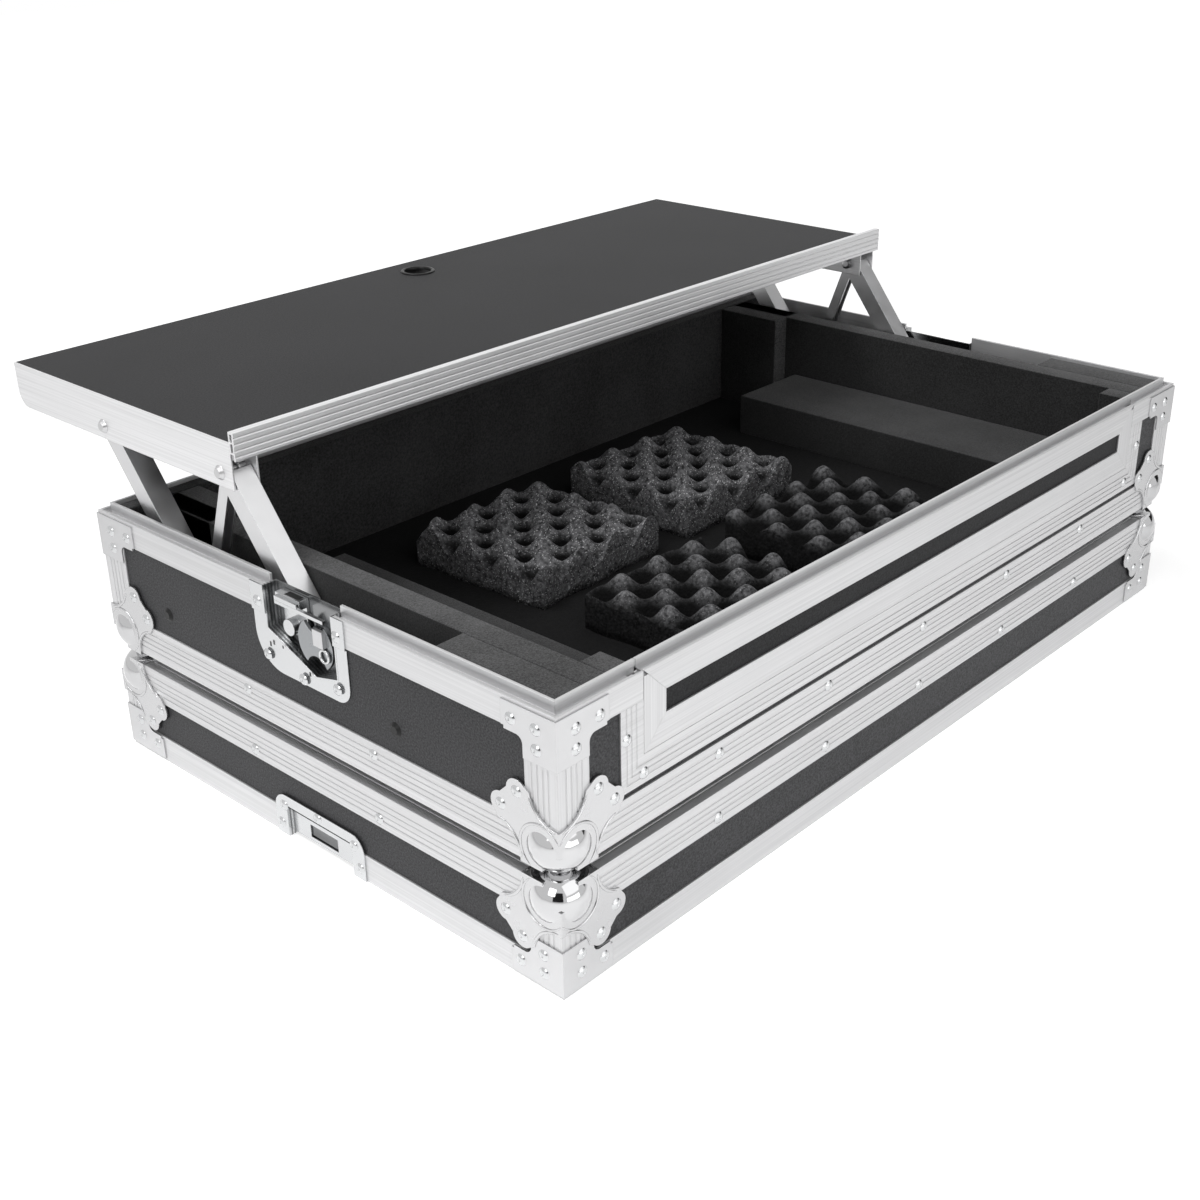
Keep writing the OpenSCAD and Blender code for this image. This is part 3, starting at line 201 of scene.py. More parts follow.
def two_tone(tree, factor, dark, light, low=0.35, high=0.65):
    """Colour ramp between two hex colours, from low to high of the factor."""
    ramp = add(tree, "ValToRGB", Fac=factor)
    ramp.color_ramp.elements[0].position = low
    ramp.color_ramp.elements[1].position = high
    ramp.color_ramp.elements[0].color = linear(dark)
    ramp.color_ramp.elements[1].color = linear(light)
    return ramp.outputs[0]


def laminate_material(name, dark, light, grain, depth):
    """Pebbled film: fine noise moves the colour and the bump together."""
    made, tree, shader, place = finish_material(name, 0.55, specular=0.16)
    pebble = add(tree, "TexNoise", {"Scale": 1 / grain, "Detail": 3.0, "Roughness": 0.7},
                 Vector=place)
    cloud = add(tree, "TexNoise", {"Scale": 9.0, "Detail": 2.0}, Vector=place)
    blend = add(tree, "Math", {1: 0.12}, {"operation": "MULTIPLY_ADD"},
                n0=cloud.outputs["Fac"], n2=pebble.outputs["Fac"])
    tone = two_tone(tree, blend.outputs[0], dark, light, 0.42, 0.72)
    tree.links.new(tone, shader.inputs["Base Color"])
    bump = add(tree, "Bump", {"Strength": 0.6, "Distance": depth}, Height=pebble.outputs["Fac"])
    tree.links.new(bump.outputs[0], shader.inputs["Normal"])
    return made


def dress(material, *names):
    """Give CAD nodes this material in every slot."""
    for name in names:
        mesh = nodes[name].data
        mesh.materials.clear()
        mesh.materials.append(material)


black_laminate = laminate_material("black_phenolic_laminate", LAMINATE_DARK, LAMINATE_LIGHT,
                                   LAMINATE_GRAIN, LAMINATE_DEPTH)
dress(black_laminate, "lid_top_panel", "lid_long_panels", "lid_side_panels", "base_floor",
      "base_back_panel", "base_side_panels", "base_front_board")
# The shelf and the lift-out panel take the darker copy of the film: painted shade
shaded_shelf_laminate = laminate_material("shelf_laminate_painted_shade", SHELF_SHADED_DARK, SHELF_SHADED_LIGHT,
                                   LAMINATE_GRAIN, LAMINATE_DEPTH)
dress(shaded_shelf_laminate, "shelf_board", "lift_panel_board")


# Aluminium extrusions. Satin 6063 sections, pressed through a die, so faint lines run along
# each bar, and riveted to the panels. Their edges are broken by 0.9 mm, which catches the light.
ALUMINIUM_DARK = "C6C6C7"
ALUMINIUM_LIGHT = "D9D9DA"
# Brighter copy of the aluminium for the shelf rails: painted light
RAIL_LIT_DARK = "DCDCDD"
RAIL_LIT_LIGHT = "F2F2F3"
ALUMINIUM_EDGE = 0.9 * MM
# Scale of the noise per metre, across a bar and along it. The lines are drawn 1.4 mm apart,
# coarser than real die lines, so that they show.
DIE_LINES_ACROSS = 700.0
DIE_LINES_ALONG = 4.0


def drawn_material(name, along, dark=ALUMINIUM_DARK, light=ALUMINIUM_LIGHT):
    """Noise stretched along one axis gives die lines in colour, roughness and bump."""
    made, tree, shader, place = finish_material(name, 0.4, metallic=0.65)
    stretch = [DIE_LINES_ACROSS] * 3
    stretch[along] = DIE_LINES_ALONG
    lines = add(tree, "VectorMath", {1: stretch}, {"operation": "MULTIPLY"}, n0=place)
    fine = add(tree, "TexNoise", {"Scale": 1.0, "Detail": 2.0}, Vector=lines.outputs[0])
    tree.links.new(two_tone(tree, fine.outputs["Fac"], dark, light, 0.2, 0.75),
                   shader.inputs["Base Color"])
    cloud = add(tree, "TexNoise", {"Scale": 30.0, "Detail": 3.0}, Vector=place)
    rough = add(tree, "MapRange", {"To Min": 0.34, "To Max": 0.5}, Value=cloud.outputs["Fac"])
    tree.links.new(rough.outputs[0], shader.inputs["Roughness"])
    edge = add(tree, "Bevel", {"Radius": ALUMINIUM_EDGE}, {"samples": 6})
    bump = add(tree, "Bump", {"Strength": 0.18, "Distance": 0.05 * MM},
               Height=fine.outputs["Fac"], Normal=edge.outputs[0])
    tree.links.new(bump.outputs[0], shader.inputs["Normal"])
    return made


drawn_x = drawn_material("extruded_aluminium_lengthwise", 0)
drawn_y = drawn_material("extruded_aluminium_crosswise", 1)
drawn_z = drawn_material("extruded_aluminium_upright", 2)
dress(drawn_x, "lid_long_edges", "lid_long_rims", "base_long_edges", "base_back_rim",
      "base_front_rims", "front_frame", "lift_panel_top_bar", "lift_panel_bottom_bar")
dress(drawn_y, "lid_short_edges", "lid_side_rims", "base_short_edges", "base_side_rims",
      "pivot_strips")
dress(drawn_z, "lid_corner_posts", "base_corner_posts", "lift_panel_side_bars")
# The rails of the shelf take a brighter copy of the bars' colour: painted light.
lit_rail_x = drawn_material("extruded_rail_painted_light_lengthwise", 0, RAIL_LIT_DARK, RAIL_LIT_LIGHT)
lit_rail_y = drawn_material("extruded_rail_painted_light_crosswise", 1, RAIL_LIT_DARK, RAIL_LIT_LIGHT)
dress(lit_rail_x, "shelf_front_rail")
dress(lit_rail_y, "shelf_side_rails")


# Zinc-plated steel. Latches, keepers, braces and ball corners are pressed from sheet, the arms
# and props are flat bar, and all are plated. The plating is glossy with a faint cloud in it, and
# duller on the braces, studs and bars.
PRESSED_EDGE = 0.45 * MM


def plated_material(name, tone, roughness):
    """Bright plating: soft clouds move the roughness, and edges are rounded by the pressing."""
    made, tree, shader, place = finish_material(name, roughness, metallic=1.0)
    shader.inputs["Base Color"].default_value = linear(tone)
    cloud = add(tree, "TexNoise", {"Scale": 90.0, "Detail": 4.0}, Vector=place)
    rough = add(tree, "MapRange", {"To Min": roughness * 0.75, "To Max": roughness * 1.35},
                Value=cloud.outputs["Fac"])
    tree.links.new(rough.outputs[0], shader.inputs["Roughness"])
    edge = add(tree, "Bevel", {"Radius": PRESSED_EDGE}, {"samples": 4})
    bump = add(tree, "Bump", {"Strength": 0.12, "Distance": 0.1 * MM},
               Height=cloud.outputs["Fac"], Normal=edge.outputs[0])
    tree.links.new(bump.outputs[0], shader.inputs["Normal"])
    return made


plated = plated_material("bright_zinc_plated_steel", "C2C3C4", 0.2)
satin_plated = plated_material("satin_zinc_plated_steel", "C1C1C2", 0.34)
dress(satin_plated, "base_braces", "lid_braces", "pivot_studs", "shelf_bolts")
bar_steel = plated_material("zinc_plated_flat_bar", "CECECF", 0.36)
dress(bar_steel, "front_arm_left", "front_arm_right", "rear_arm_left", "rear_arm_right",
      "prop_left", "prop_right")
dress(plated, "latch_hook_left", "latch_hook_right", "base_rivets", "lid_rivets")

# Black oxide steel is dark with a soft gloss: bolts and the eyelet of the cable hole. Thin sheets of
# it in the latches' slots are painted shade
black_steel, _, shader, _ = finish_material("black_oxide_steel", 0.4, metallic=0.6)
shader.inputs["Base Color"].default_value = linear("1A1A1A")
dress(black_steel, "panel_bolts")


# Rivets. Steel drive rivets with a domed head and the small pit that the mandrel leaves. Each
# head sits where its solid lies in the frame.
RIVET_SIDES = 14
# Radius and height of the head's rows, as shares, from the pit to the rim
RIVET_RADII = (0.0, 0.17, 0.27, 0.45, 0.68, 0.88, 1.0)
RIVET_RISE = (0.62, 0.66, 0.95, 0.86, 0.64, 0.3, 0.0)
# Points of a solid that are this near in radius lie on its rim
RIM_SLACK = 0.01 * MM


def solids_of(name):
    """Vertex arrays of the separate solids in a CAD node, in frame metres: vertices that
    coincide are merged, then the lowest label spreads over the faces until it settles."""
    mesh = nodes[name].data
    points = np.zeros(len(mesh.vertices) * 3)
    mesh.vertices.foreach_get("co", points)
    points = points.reshape(-1, 3)
    corners = np.zeros(len(mesh.loops), dtype=int)
    mesh.loops.foreach_get("vertex_index", corners)
    merged, index = np.unique(np.round(points, 6), axis=0, return_inverse=True)
    faces = index.reshape(-1)[corners].reshape(-1, 3)
    label = np.arange(len(merged))
    while True:
        low = label[faces].min(axis=1)
        before = label.copy()
        for side in range(3):
            np.minimum.at(label, faces[:, side], low)
        label = label[label]
        if (label == before).all():
            break
    return [merged[label == value] for value in np.unique(label)]


def grid_faces(rows, columns, wrap=False):
    """Quads of a grid of rows by columns points, row after row, closed round if it wraps."""
    across = columns if wrap else columns - 1
    row, here = np.meshgrid(np.arange(rows - 1), np.arange(across), indexing="ij")
    row = row * columns
    beside = (here + 1) % columns
    after = row + columns
    return np.stack([row + here, row + beside, after + beside, after + here], -1).reshape(-1, 4)


def make_piece(name, points, faces, material, body, smooth=True):
    """Mesh object from frame points and faces, with its material and body."""
    mesh = bpy.data.meshes.new(name)
    mesh.from_pydata(np.asarray(points).tolist(), [], [list(map(int, f)) for f in faces])
    mesh.polygons.foreach_set("use_smooth", np.full(len(mesh.polygons), smooth))
    mesh.materials.append(material)
    mesh.update()
    piece = bpy.data.objects.new(name, mesh)
    bpy.context.scene.collection.objects.link(piece)
    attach(piece, body)
    return piece


def rivet_heads(name):
    """Domed heads over the solids of a rivet node: height falls nearly as 1 - r^2.4, with a
    small pit at the middle, and the rows are turned round the rivet's axis."""
    radii = np.array(RIVET_RADII)
    rise = np.array(RIVET_RISE)
    turn = np.arange(RIVET_SIDES) * 2 * math.pi / RIVET_SIDES
    points, faces = [], []
    for solid in solids_of(name):
        low, high = solid.min(0), solid.max(0)
        axis = int(np.argmax(high - low))
        others = [(axis + 1) % 3, (axis + 2) % 3]
        middle = (low + high) / 2
        spread = np.linalg.norm((solid - middle)[:, others], axis=1)
        wide = spread.max()
        seat = solid[spread > wide - RIM_SLACK][:, axis].mean()
        sign = 1.0 if high[axis] - seat < seat - low[axis] else -1.0
        height = (high[axis] - seat) if sign > 0 else (seat - low[axis])
        around = turn * sign
        ring = np.zeros((len(radii), RIVET_SIDES, 3))
        ring[:, :, axis] = seat + sign * rise[:, None] * height
        ring[:, :, others[0]] = middle[others[0]] + np.outer(radii * wide, np.cos(around))
        ring[:, :, others[1]] = middle[others[1]] + np.outer(radii * wide, np.sin(around))
        start = len(points) * len(radii) * RIVET_SIDES
        points.append(ring.reshape(-1, 3))
        faces.append(grid_faces(len(radii), RIVET_SIDES, True) + start)
    return np.concatenate(points), np.concatenate(faces)


for node, body in (("base_rivets", "base"), ("lid_rivets", "lid")):
    points, faces = rivet_heads(node)
    piece = make_piece(node + "_heads", points, faces, plated, body)
    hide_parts(node)


# Ball corners. Pressed from sheet steel in three leaves that meet in a ball, bright plated, and
# riveted over the box corners. The ball is polished. A bead is pressed round it and along the
# scalloped edges of each leaf.
CASE = (870 * MM, 525 * MM)
CASE_FRONT = -324.486 * MM
CASE_MIDDLE = CASE_FRONT + CASE[1] / 2
LID_TOP = 89 * MM
BASE_UNDER = 101 * MM
BALL_IN = 15.5 * MM
BALL_RADIUS = 21.9 * MM
# The polish ends between the ball's radius and this many times it
BALL_FADE = 1.03
BALL_POLISH = 0.07
LEAF_THICK = 1.5 * MM
BEAD_WIDE = 2.4 * MM
BEAD_HIGH = 0.9 * MM
BEAD_STEPS = 30
BEAD_SIDES = 10
# Size of a bead at its two ends, as a share of the size at its middle
BEAD_TIP = 0.02
# Arcs of a leaf, from its corner: middle, radius, first and last degree
BEAD_ARCS = (((15.5, 15.5), 19.5, -58, 148), ((0.0, 61.0), 26.9, -86, -16),
             ((61.0, 0.0), 26.9, 106, 176))


def ball_corner_material(name, ball_z):
    """Plated steel whose roughness falls to a polish within the radius of the nearest ball,
    found from the distance to the four ball middles, mirrored over the middle of the case."""
    made = plated_material(name, "BDBDBE", 0.24)
    tree = made.node_tree
    shader = next(n for n in tree.nodes if n.type == "BSDF_PRINCIPLED")
    satin = shader.inputs["Roughness"].links[0].from_socket
    place = add(tree, "TexCoord").outputs["Object"]
    off = add(tree, "VectorMath", {1: (0, CASE_MIDDLE, ball_z)}, {"operation": "SUBTRACT"}, n0=place)
    fold = add(tree, "VectorMath", settings={"operation": "ABSOLUTE"}, n0=off.outputs[0])
    near = add(tree, "VectorMath", {1: (CASE[0] / 2 - BALL_IN, CASE[1] / 2 - BALL_IN, 0)},
               {"operation": "DISTANCE"}, n0=fold.outputs[0])
    outside = add(tree, "MapRange", {"From Min": BALL_RADIUS, "From Max": BALL_RADIUS * BALL_FADE},
                  Value=near.outputs["Value"])
    mix = add(tree, "MapRange", {"To Min": BALL_POLISH}, Value=outside.outputs[0], To_Max=satin)
    tree.links.new(mix.outputs[0], shader.inputs["Roughness"])
    return made


def bead_tube(middle, radius, first, last):
    """Flat tube along an arc in the leaf's plane: an ellipse of the bead's width and height is
    carried along the arc and shrinks to a point at both ends as sin^0.4."""
    turn = np.radians(np.linspace(first, last, BEAD_STEPS))
    around = np.linspace(0, 2 * math.pi, BEAD_SIDES, endpoint=False)
    size = np.sin(np.linspace(0, math.pi, BEAD_STEPS)) ** 0.4
    size[[0, -1]] = BEAD_TIP
    reach = radius * MM + np.outer(size, np.cos(around)) * BEAD_WIDE / 2
    rise = np.outer(size, np.sin(around)) * BEAD_HIGH
    across = np.stack([middle[0] * MM + reach * np.cos(turn)[:, None],
                       middle[1] * MM + reach * np.sin(turn)[:, None], rise], -1)
    points = across.reshape(-1, 3)
    faces = [list(f) for f in grid_faces(BEAD_STEPS, BEAD_SIDES, True)]
    first_end = list(range(BEAD_SIDES))
    last_end = [i + (BEAD_STEPS - 1) * BEAD_SIDES for i in first_end]
    faces += [first_end, last_end[::-1]]
    return points, faces


def leaf_beads(name, corner_z, up, body, material):
    """Beads of the twelve leaves of a box: each leaf's (along, along, out) is laid on the front,
    side and floor face of a corner, and the corner is mirrored to the other three."""
    points, faces = [], []
    for arc in BEAD_ARCS:
        flat, rings = bead_tube(*arc)
        a, b, out = flat[:, 0], flat[:, 1], -LEAF_THICK - flat[:, 2]
        for leaf in ((a, out, b), (out, a, b), (a, b, out)):
            for side in (-1, 1):
                for depth in (-1, 1):
                    x = side * (CASE[0] / 2 - leaf[0])
                    y = CASE_MIDDLE + depth * (CASE[1] / 2 - leaf[1])
                    start = len(points) * len(flat)
                    points.append(np.stack([x, y, corner_z + up * leaf[2]], -1))
                    faces += [[i + start for i in f] for f in rings]
    piece = make_piece(name, np.concatenate(points), faces, material, body)
    shell = bmesh.new()
    shell.from_mesh(piece.data)
    bmesh.ops.recalc_face_normals(shell, faces=shell.faces)
    shell.to_mesh(piece.data)
    shell.free()


for body, corner_z, up in (("base", BASE_UNDER, 1), ("lid", LID_TOP, -1)):
    finish = ball_corner_material(body + "_ball_corner_steel", corner_z + up * BALL_IN)
    dress(finish, body + "_ball_corners")
    leaf_beads(body + "_ball_corner_beads", corner_z, up, body, finish)


# Latches and keepers. Dishes pressed from steel, plated, and riveted into both sides, with a
# hook that slides and a twist key. Bands of tone on the walls of a dish are painted reflections,
# and the dish is painted darker towards its floor as painted shade; the key is of duller plating.
DISH_FACE = 436.2 * MM
DISH_DEEP = 14.0 * MM
# Depth shares and tones of the dish wall, from the face to the floor: painted reflections in light and
# dark bands, and painted shade towards the floor
DISH_SHADE_BANDS = ((0.0, "C2C3C4"), (0.13, "C2C3C4"), (0.2, "555657"), (0.29, "D4D5D6"), (0.4, "6C6D6E"),
              (0.5, "CCCDCE"), (0.6, "5C5D5E"), (0.71, "BABBBC"), (0.8, "6A6B6C"), (0.95, "848586"))
# Boxes of the left latch in mm, as two corners: on the hook, on the key and on the dish
HOOK_BAR = (((-435.4, -92, 211.2), (-432.4, -36, 213.9)),
            ((-435.4, -62, 213.8), (-432.4, -36, 217.5)))
# The hook's slot is a thin black sheet: painted shade in the opening
HOOK_SLOT_SHADE = (((-430.8, -59, 218.9), (-425.2, -43, 219.12)),)
KEY_FLAP = (((-435.5, -90, 190.5), (-432.4, -79, 204)),)
# The dish's slot is a thin black sheet on its floor: painted shade in the opening
DISH_SLOT_SHADE = (((-423.45, -100, 174.5), (-423.22, -84, 180)),)
DISH_MARKS = (((-436.28, -27.6, 172.6), (-436.1, -25.8, 176.6)),
              ((-436.28, -42.5, 175.6), (-436.1, -41.3, 178.0)),
              ((-436.28, -73.4, 162.9), (-436.1, -71.6, 166.3)))
# Ring of the left key in mm: its middle, its radius and the radius of its wire
KEY_RING = (-433.8, -88.8, 183.8, 5.0, 1.15)
KEY_RING_STEPS = (28, 10)


def dish_material(name):
    """Plated steel with a colour ramp over the depth behind the face, from the Object x: painted
    reflections in bands and painted shade deeper in the dish.
    """
    made = plated_material(name, "C2C3C4", 0.2)
    tree = made.node_tree
    shader = next(n for n in tree.nodes if n.type == "BSDF_PRINCIPLED")
    split = add(tree, "SeparateXYZ", Vector=add(tree, "TexCoord").outputs["Object"])
    away = add(tree, "Math", settings={"operation": "ABSOLUTE"}, n0=split.outputs["X"])
    depth = add(tree, "MapRange", {"From Min": DISH_FACE, "From Max": DISH_FACE - DISH_DEEP},
                Value=away.outputs[0])
    # Light and dark bands and a darker floor of the dish: painted reflections and painted shade
    ramp = add(tree, "ValToRGB", Fac=depth.outputs[0])
    for _ in DISH_SHADE_BANDS[2:]:
        ramp.color_ramp.elements.new(0.5)
    for stop, (share, tone) in zip(ramp.color_ramp.elements, DISH_SHADE_BANDS):
        stop.position = share
        stop.color = linear(tone)
    tree.links.new(ramp.outputs[0], shader.inputs["Base Color"])
    return made


def plain_boxes(name, boxes, side, material, body):
    """Boxes given by two corners in mm for the left side, mirrored to the right by side = -1."""
    corner = np.array([[i >> 2 & 1, i >> 1 & 1, i & 1] for i in range(8)])
    rings = np.array([[0, 1, 3, 2], [4, 6, 7, 5], [0, 4, 5, 1],
                      [2, 3, 7, 6], [0, 2, 6, 4], [1, 5, 7, 3]])
    points = [np.where(corner, high, low) * MM * (side, 1, 1) for low, high in boxes]
    faces = [ring[::side] + 8 * i for i in range(len(boxes)) for ring in rings]
    make_piece(name, np.concatenate(points), faces, material, body, smooth=False)


def ring_faces(rows, columns):
    """Quads of a grid of rows by columns points that is closed on itself both ways."""
    row = np.arange(rows)[:, None] * columns
    after = np.roll(row, -1, axis=0)
    here = np.arange(columns)
    beside = (here + 1) % columns
    return np.stack([row + here, after + here, after + beside, row + beside], -1).reshape(-1, 4)


def key_ring(name, side, material, body):
    """Torus in the plane of the face: a circle of the wire's radius turned round the ring's
    middle. It is the ring of the key's spring."""
    x, y, z, major, minor = KEY_RING
    around, tube = np.meshgrid(*(np.arange(n) * math.tau / n for n in KEY_RING_STEPS), indexing="ij")
    reach = major + minor * np.cos(tube)
    points = np.stack([side * (x + minor * np.sin(tube)), y + reach * np.cos(around),
                       z + reach * np.sin(around)], -1) * MM
    faces = ring_faces(*KEY_RING_STEPS)[:, ::-side]
    make_piece(name, points.reshape(-1, 3), faces, material, body)


dish_steel = dish_material("plated_steel_painted_recess_shade")
dull_steel = plated_material("dull_plated_steel", "8E9092", 0.24)
dress(dish_steel, "latch_dishes", "lid_keepers")
dress(dull_steel, "latch_key_left", "latch_key_right")
for side, word in ((1, "left"), (-1, "right")):
    plain_boxes(f"hook_bar_{word}", HOOK_BAR, side, plated, "hook_" + word)
    # The black sheets in the slots are painted shade
    plain_boxes(f"hook_slot_shade_{word}", HOOK_SLOT_SHADE, side, black_steel, "hook_" + word)
    plain_boxes(f"key_flap_{word}", KEY_FLAP, side, satin_plated, "key_" + word)
    plain_boxes(f"dish_slot_shade_{word}", DISH_SLOT_SHADE, side, black_steel, "base")
    plain_boxes(f"dish_marks_{word}", DISH_MARKS, side, black_steel, "base")
    key_ring(f"key_ring_{word}", side, plated, "key_" + word)


# Cable hole. A black steel eyelet is rolled over the edge of the hole in the shelf: a closed
# section turned round the middle of the hole.
EYELET_PLACE = (7.5 * MM, 294.514 * MM)
EYELET_STEPS = 40
# Radius and height of the eyelet's section, in mm
EYELET_SECTION = ((14.9, 311.3), (13.8, 311.3), (13.7, 318.3), (14.2, 319.0), (15.4, 319.3),
                  (16.8, 319.0), (17.6, 318.0), (14.9, 318.0))
turn = np.arange(EYELET_STEPS) * math.tau / EYELET_STEPS
radius, height = np.array(EYELET_SECTION).T * MM
points = np.stack([EYELET_PLACE[0] + np.outer(np.cos(turn), radius),
                   EYELET_PLACE[1] + np.outer(np.sin(turn), radius),
                   np.broadcast_to(height, (EYELET_STEPS, len(height)))], -1).reshape(-1, 3)
faces = ring_faces(EYELET_STEPS, len(height))[:, [0, 3, 2, 1]]
make_piece("cable_eyelet", points, faces, black_steel, "shelf")


# Foam lining. Slabs of closed-cell polyethylene foam, sawn and glued in, with soft edges. On the
# lining and bolster foam the tops keep the full tone and the sides are darkened as painted shade.
# The back wall is of a coarser grey foam and the floor of a black one. Cells are drawn at 1.3 and 2.2
# mm, so that they show.
FOAM_EDGE = 1.3 * MM
FOAM_EDGE_STEPS = 4
FOAM_STEP = 30 * MM
FINE_GRAIN = 1.32 * MM
COARSE_GRAIN = 2.2 * MM
# Share of the full tone on faces to the front, where tops have 1 and the other faces 0, as painted
# shade
FRONT_LIT_SHARE = 0.85


def foam_material(name, dark, light, grain, depth, sheen=0.15, side_shade_share=1.0):
    """Matt foam: cell noise in colour and bump, with a wide cloud of handling marks. Faces that
    are not tops keep a share of the tone, given by the argument, as painted shade."""
    made, tree, shader, place = finish_material(name, 0.92, specular=0.2)
    shader.inputs["Sheen Weight"].default_value = sheen
    cells = add(tree, "TexNoise", {"Scale": 1 / grain, "Detail": 4.0, "Roughness": 0.75},
                Vector=place)
    cloud = add(tree, "TexNoise", {"Scale": 12.0, "Detail": 3.0}, Vector=place)
    blend = add(tree, "Math", {1: 0.35}, {"operation": "MULTIPLY_ADD"},
                n0=cloud.outputs["Fac"], n2=cells.outputs["Fac"])
    shift = add(tree, "Math", {1: 0.175}, {"operation": "SUBTRACT"}, n0=blend.outputs[0])
    # Tops take the full tone and the other faces less: painted shade
    skin = add(tree, "Attribute", settings={"attribute_name": "skin"})
    share = add(tree, "MapRange", {"To Min": side_shade_share, "To Max": 1.0}, Value=skin.outputs["Fac"])
    tone = add(tree, "VectorMath", settings={"operation": "SCALE"},
               n0=two_tone(tree, shift.outputs[0], dark, light, 0.3, 0.7), Scale=share.outputs[0])
    tree.links.new(tone.outputs[0], shader.inputs["Base Color"])
    bump = add(tree, "Bump", {"Strength": 0.8, "Distance": depth}, Height=cells.outputs["Fac"])
    tree.links.new(bump.outputs[0], shader.inputs["Normal"])
    return made


def rounded_block(low, high, radius, step):
    """Box with rounded edges: each point of the box's grid is pulled to the inner box that is
    smaller by the radius, and then pushed out from it by the radius. Also gives the share of
    painted light at each point: 1 on the top, less on the front and 0 on the other faces."""
    low, high = np.array(low), np.array(high)
    half = (high - low) / 2
    bend = radius * (1 - np.cos(np.linspace(0, math.pi / 2, FOAM_EDGE_STEPS)))
    lines = []
    for h in half:
        inside = max(2, int(math.ceil(2 * (h - radius) / step)) + 1)
        middle = np.linspace(-h + radius, h - radius, inside)
        lines.append(np.unique(np.round(np.concatenate([-h + bend, middle, h - bend]), 7)))
    points, faces, count = [], [], 0
    for axis in range(3):
        a, b = (axis + 1) % 3, (axis + 2) % 3
        for sign in (-1, 1):
            u, v = np.meshgrid(lines[a], lines[b], indexing="ij")
            grid = np.zeros(u.shape + (3,))
            grid[..., a] = u
            grid[..., b] = v
            grid[..., axis] = sign * half[axis]
            quads = grid_faces(*u.shape)
            faces.append((quads if sign > 0 else quads[:, ::-1]) + count)
            points.append(grid.reshape(-1, 3))
            count += u.size
    points = np.concatenate(points)
    core = np.clip(points, -(half - radius), half - radius)
    away = points - core
    points = core + radius * away / np.maximum(np.linalg.norm(away, axis=1, keepdims=True), 1e-9)
    merged, index = np.unique(np.round(points, 7), axis=0, return_inverse=True)
    faces = index.reshape(-1)[np.concatenate(faces)[:, ::-1]]
    # Tops 1, faces to the front less, other faces 0: painted shade
    front_lit = np.where(merged[:, 1] < radius * 0.5 - half[1], FRONT_LIT_SHARE, 0.0)
    skin = np.where(merged[:, 2] > half[2] - radius * 0.5, 1.0, front_lit)
    return merged + (low + high) / 2, faces, skin


def foam_piece(name, boxes, material, body, node):
    """One foam piece of rounded blocks that stands for a CAD node."""
    points, faces, skins, count = [], [], [], 0
    for low, high in boxes:
        p, f, skin = rounded_block(low, high, FOAM_EDGE, FOAM_STEP)
        points.append(p)
        faces.append(f + count)
        skins.append(skin)
        count += len(p)
    piece = make_piece(name, np.concatenate(points), np.concatenate(faces), material, body)
    # This attribute paints shade on the faces that are not tops
    skin = piece.data.attributes.new("skin", "FLOAT", "POINT")
    skin.data.foreach_set("value", np.concatenate(skins))
    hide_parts(node)


lining_foam = foam_material("closed_cell_lining_foam", "242424", "6A6A6B", FINE_GRAIN, 0.3 * MM,
                            side_shade_share=0.3)
bolster_foam = foam_material("dark_bolster_foam", "191919", "4C4C4D", FINE_GRAIN, 0.3 * MM,
                             side_shade_share=0.4)
wall_foam = foam_material("coarse_grey_wall_foam", "161616", "4E4E4F", COARSE_GRAIN, 0.6 * MM)
floor_foam = foam_material("black_floor_foam", "090909", "181819", COARSE_GRAIN, 0.5 * MM,
                           sheen=0.0)


def solid_boxes(name):
    """Lowest and highest corner of each solid in a CAD node."""
    return [(solid.min(0), solid.max(0)) for solid in solids_of(name)]


foam_piece("rear_foam_wall", solid_boxes("rear_foam"), wall_foam, "base", "rear_foam")
foam_piece("floor_lining_foam", solid_boxes("floor_lining"), floor_foam, "base", "floor_lining")
foam_piece("lid_foam_sheet", solid_boxes("lid_foam"), lining_foam, "lid", "lid_foam")
foam_piece("slot_foam_blocks", solid_boxes("slot_blocks"), lining_foam, "base", "slot_blocks")
foam_piece("front_corner_foam", solid_boxes("corner_blocks"), lining_foam, "base", "corner_blocks")

# The bolsters are notched round the corner blocks, so each is a long block and a short tongue,
# a little lower than the block.
NOTCH_GAP = 0.3 * MM
TONGUE_LAP = 6 * MM
TONGUE_DROP = 0.05 * MM
parts = []
blocks = solid_boxes("corner_blocks")
for (low, high), (block_low, block_high) in zip(solid_boxes("bolsters"), blocks):
    start = low.copy()
    start[1] = block_high[1] + NOTCH_GAP
    tongue_low, tongue_high = low.copy(), high.copy()
    if low[0] < 0:
        tongue_low[0] = block_high[0] + NOTCH_GAP
    else:
        tongue_high[0] = block_low[0] - NOTCH_GAP
    tongue_high[1] = start[1] + TONGUE_LAP
    tongue_high[2] -= TONGUE_DROP
    parts += [(start, high), (tongue_low, tongue_high)]
foam_piece("side_bolster_foam", parts, bolster_foam, "base", "bolsters")

# The partitions step out at the back, so each is two blocks: the thin wall and its thick end.
THICK_END = 20 * MM
THICK_LENGTH = 76 * MM
parts = []
for low, high in solid_boxes("partitions"):
    side = 1 if low[0] < 0 else -1
    wall_low, wall_high = low.copy(), high.copy()
    if side > 0:
        wall_high[0] -= THICK_END
    else:
        wall_low[0] += THICK_END
    end_low, end_high = low.copy(), high.copy()
    end_low[1] = high[1] - THICK_LENGTH
    parts += [(wall_low, wall_high), (end_low, end_high)]
foam_piece("side_partition_foam", parts, lining_foam, "base", "partitions")


